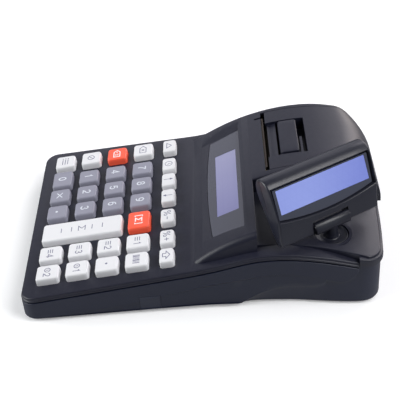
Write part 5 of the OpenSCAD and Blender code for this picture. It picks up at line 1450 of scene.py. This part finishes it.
def build_floor():
    """A plain pale floor that turns up softly far behind."""
    bend = [(SHEET_BACK - SHEET_R * sin(pi / 2 * i / 12), SHEET_R * (1 - cos(pi / 2 * i / 12)))
            for i in range(13)]
    outline = [(SHEET_HALF, 0.0)] + bend + [(SHEET_BACK - SHEET_R, SHEET_H)]
    n = len(outline)
    floor = new_object("floor", [(x, y, z) for y in (-SHEET_HALF, SHEET_HALF)
                                 for x, z in outline],
                       [(i, i + 1, n + i + 1, n + i) for i in range(n - 1)])
    floor.data.shade_smooth()
    material, tree, shader = blank("pale_floor")
    feed(tree, shader, {"Base Color": (0.93, 0.93, 0.94, 1), "Roughness": 0.6,
                        "Specular IOR Level": 0.2, "Emission Color": (1, 1, 1, 1),
                        "Emission Strength": 0.22})
    # The sheet is white where it is seen, and casts back little light far from the model
    reach = add(tree, "VectorMath", place(tree), operation="LENGTH").outputs["Value"]
    card = add(tree, "BsdfDiffuse", remap(tree, reach, *CAST_RANGE, CAST_NEAR, CAST_FAR))
    seen = add(tree, "LightPath").outputs["Is Camera Ray"]
    either = add(tree, "MixShader", seen, card.outputs[0], shader.outputs[0])
    outlet = next(n for n in tree.nodes if n.type == "OUTPUT_MATERIAL")
    feed(tree, outlet, {"Surface": either.outputs[0]})
    floor.data.materials.append(material)


def build_lights():
    for name, (position, aim, width, height, power, colour) in LIGHTS.items():
        data = bpy.data.lights.new(name, "AREA")
        data.shape = "RECTANGLE"
        data.size, data.size_y = width, height
        data.energy, data.color = power, colour
        light = linked(bpy.data.objects.new(name, data))
        light.location = position
        toward = Vector(aim) - Vector(position)
        light.rotation_euler = toward.to_track_quat("-Z", "Y").to_euler()
    world = bpy.data.worlds.new("studio")
    bpy.context.scene.world = world
    world.use_nodes = True
    tree = world.node_tree
    seen = add(tree, "LightPath").outputs["Is Camera Ray"]
    strength = remap(tree, seen, None, None, WORLD_CAST, WORLD_SEEN)
    feed(tree, next(n for n in tree.nodes if n.type == "BACKGROUND"),
         {"Color": (0.95, 0.96, 1.0, 1), "Strength": strength})


def build_camera():
    data = bpy.data.cameras.new("camera")
    data.sensor_width, data.lens = 36.0, 90.0
    data.clip_start, data.clip_end = 0.02, 20.0
    scene = bpy.context.scene
    scene.camera = linked(bpy.data.objects.new("camera", data))
    turn = Matrix(CAMERA_AXES).transposed().to_4x4()
    scene.camera.matrix_world = Matrix.Translation(CAMERA_AT) @ turn
    scene.view_settings.view_transform, scene.view_settings.look = "Standard", "None"


# ---------- Putting it together ----------

CARRIED = {
    "rubber_feet": foot_rubber, "case_screws": plated_steel, "keypad_mat": mat_rubber,
    "main_board": board_green, "battery_pack": battery_wrap, "rear_sockets": socket_black,
    "cover_pins": post_black, "printer_frame": plated_steel, "print_head": head_ceramic,
    "platen_roller": roller_rubber, "drive_gear": gear_natural, "stepper_motor": plated_steel,
}

build_floor()
build_lights()
build_camera()
build_upper_case(deck_black)
build_lower_case(base_black)
build_port_cover(port_black)
build_keys()
build_printer_cover(deck_black)
build_lever(deck_black)
build_tear_bar(tear_steel)
build_paper_roll(roll_paper, core_board)
build_operator_display(lens_tint, operator_glass, frame_black)
build_head(gloss_black, lens_tint, customer_glass, frame_black)
build_post(post_black)
for name, material in CARRIED.items():
    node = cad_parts[name]
    node.data.materials.clear()
    node.data.materials.append(material)
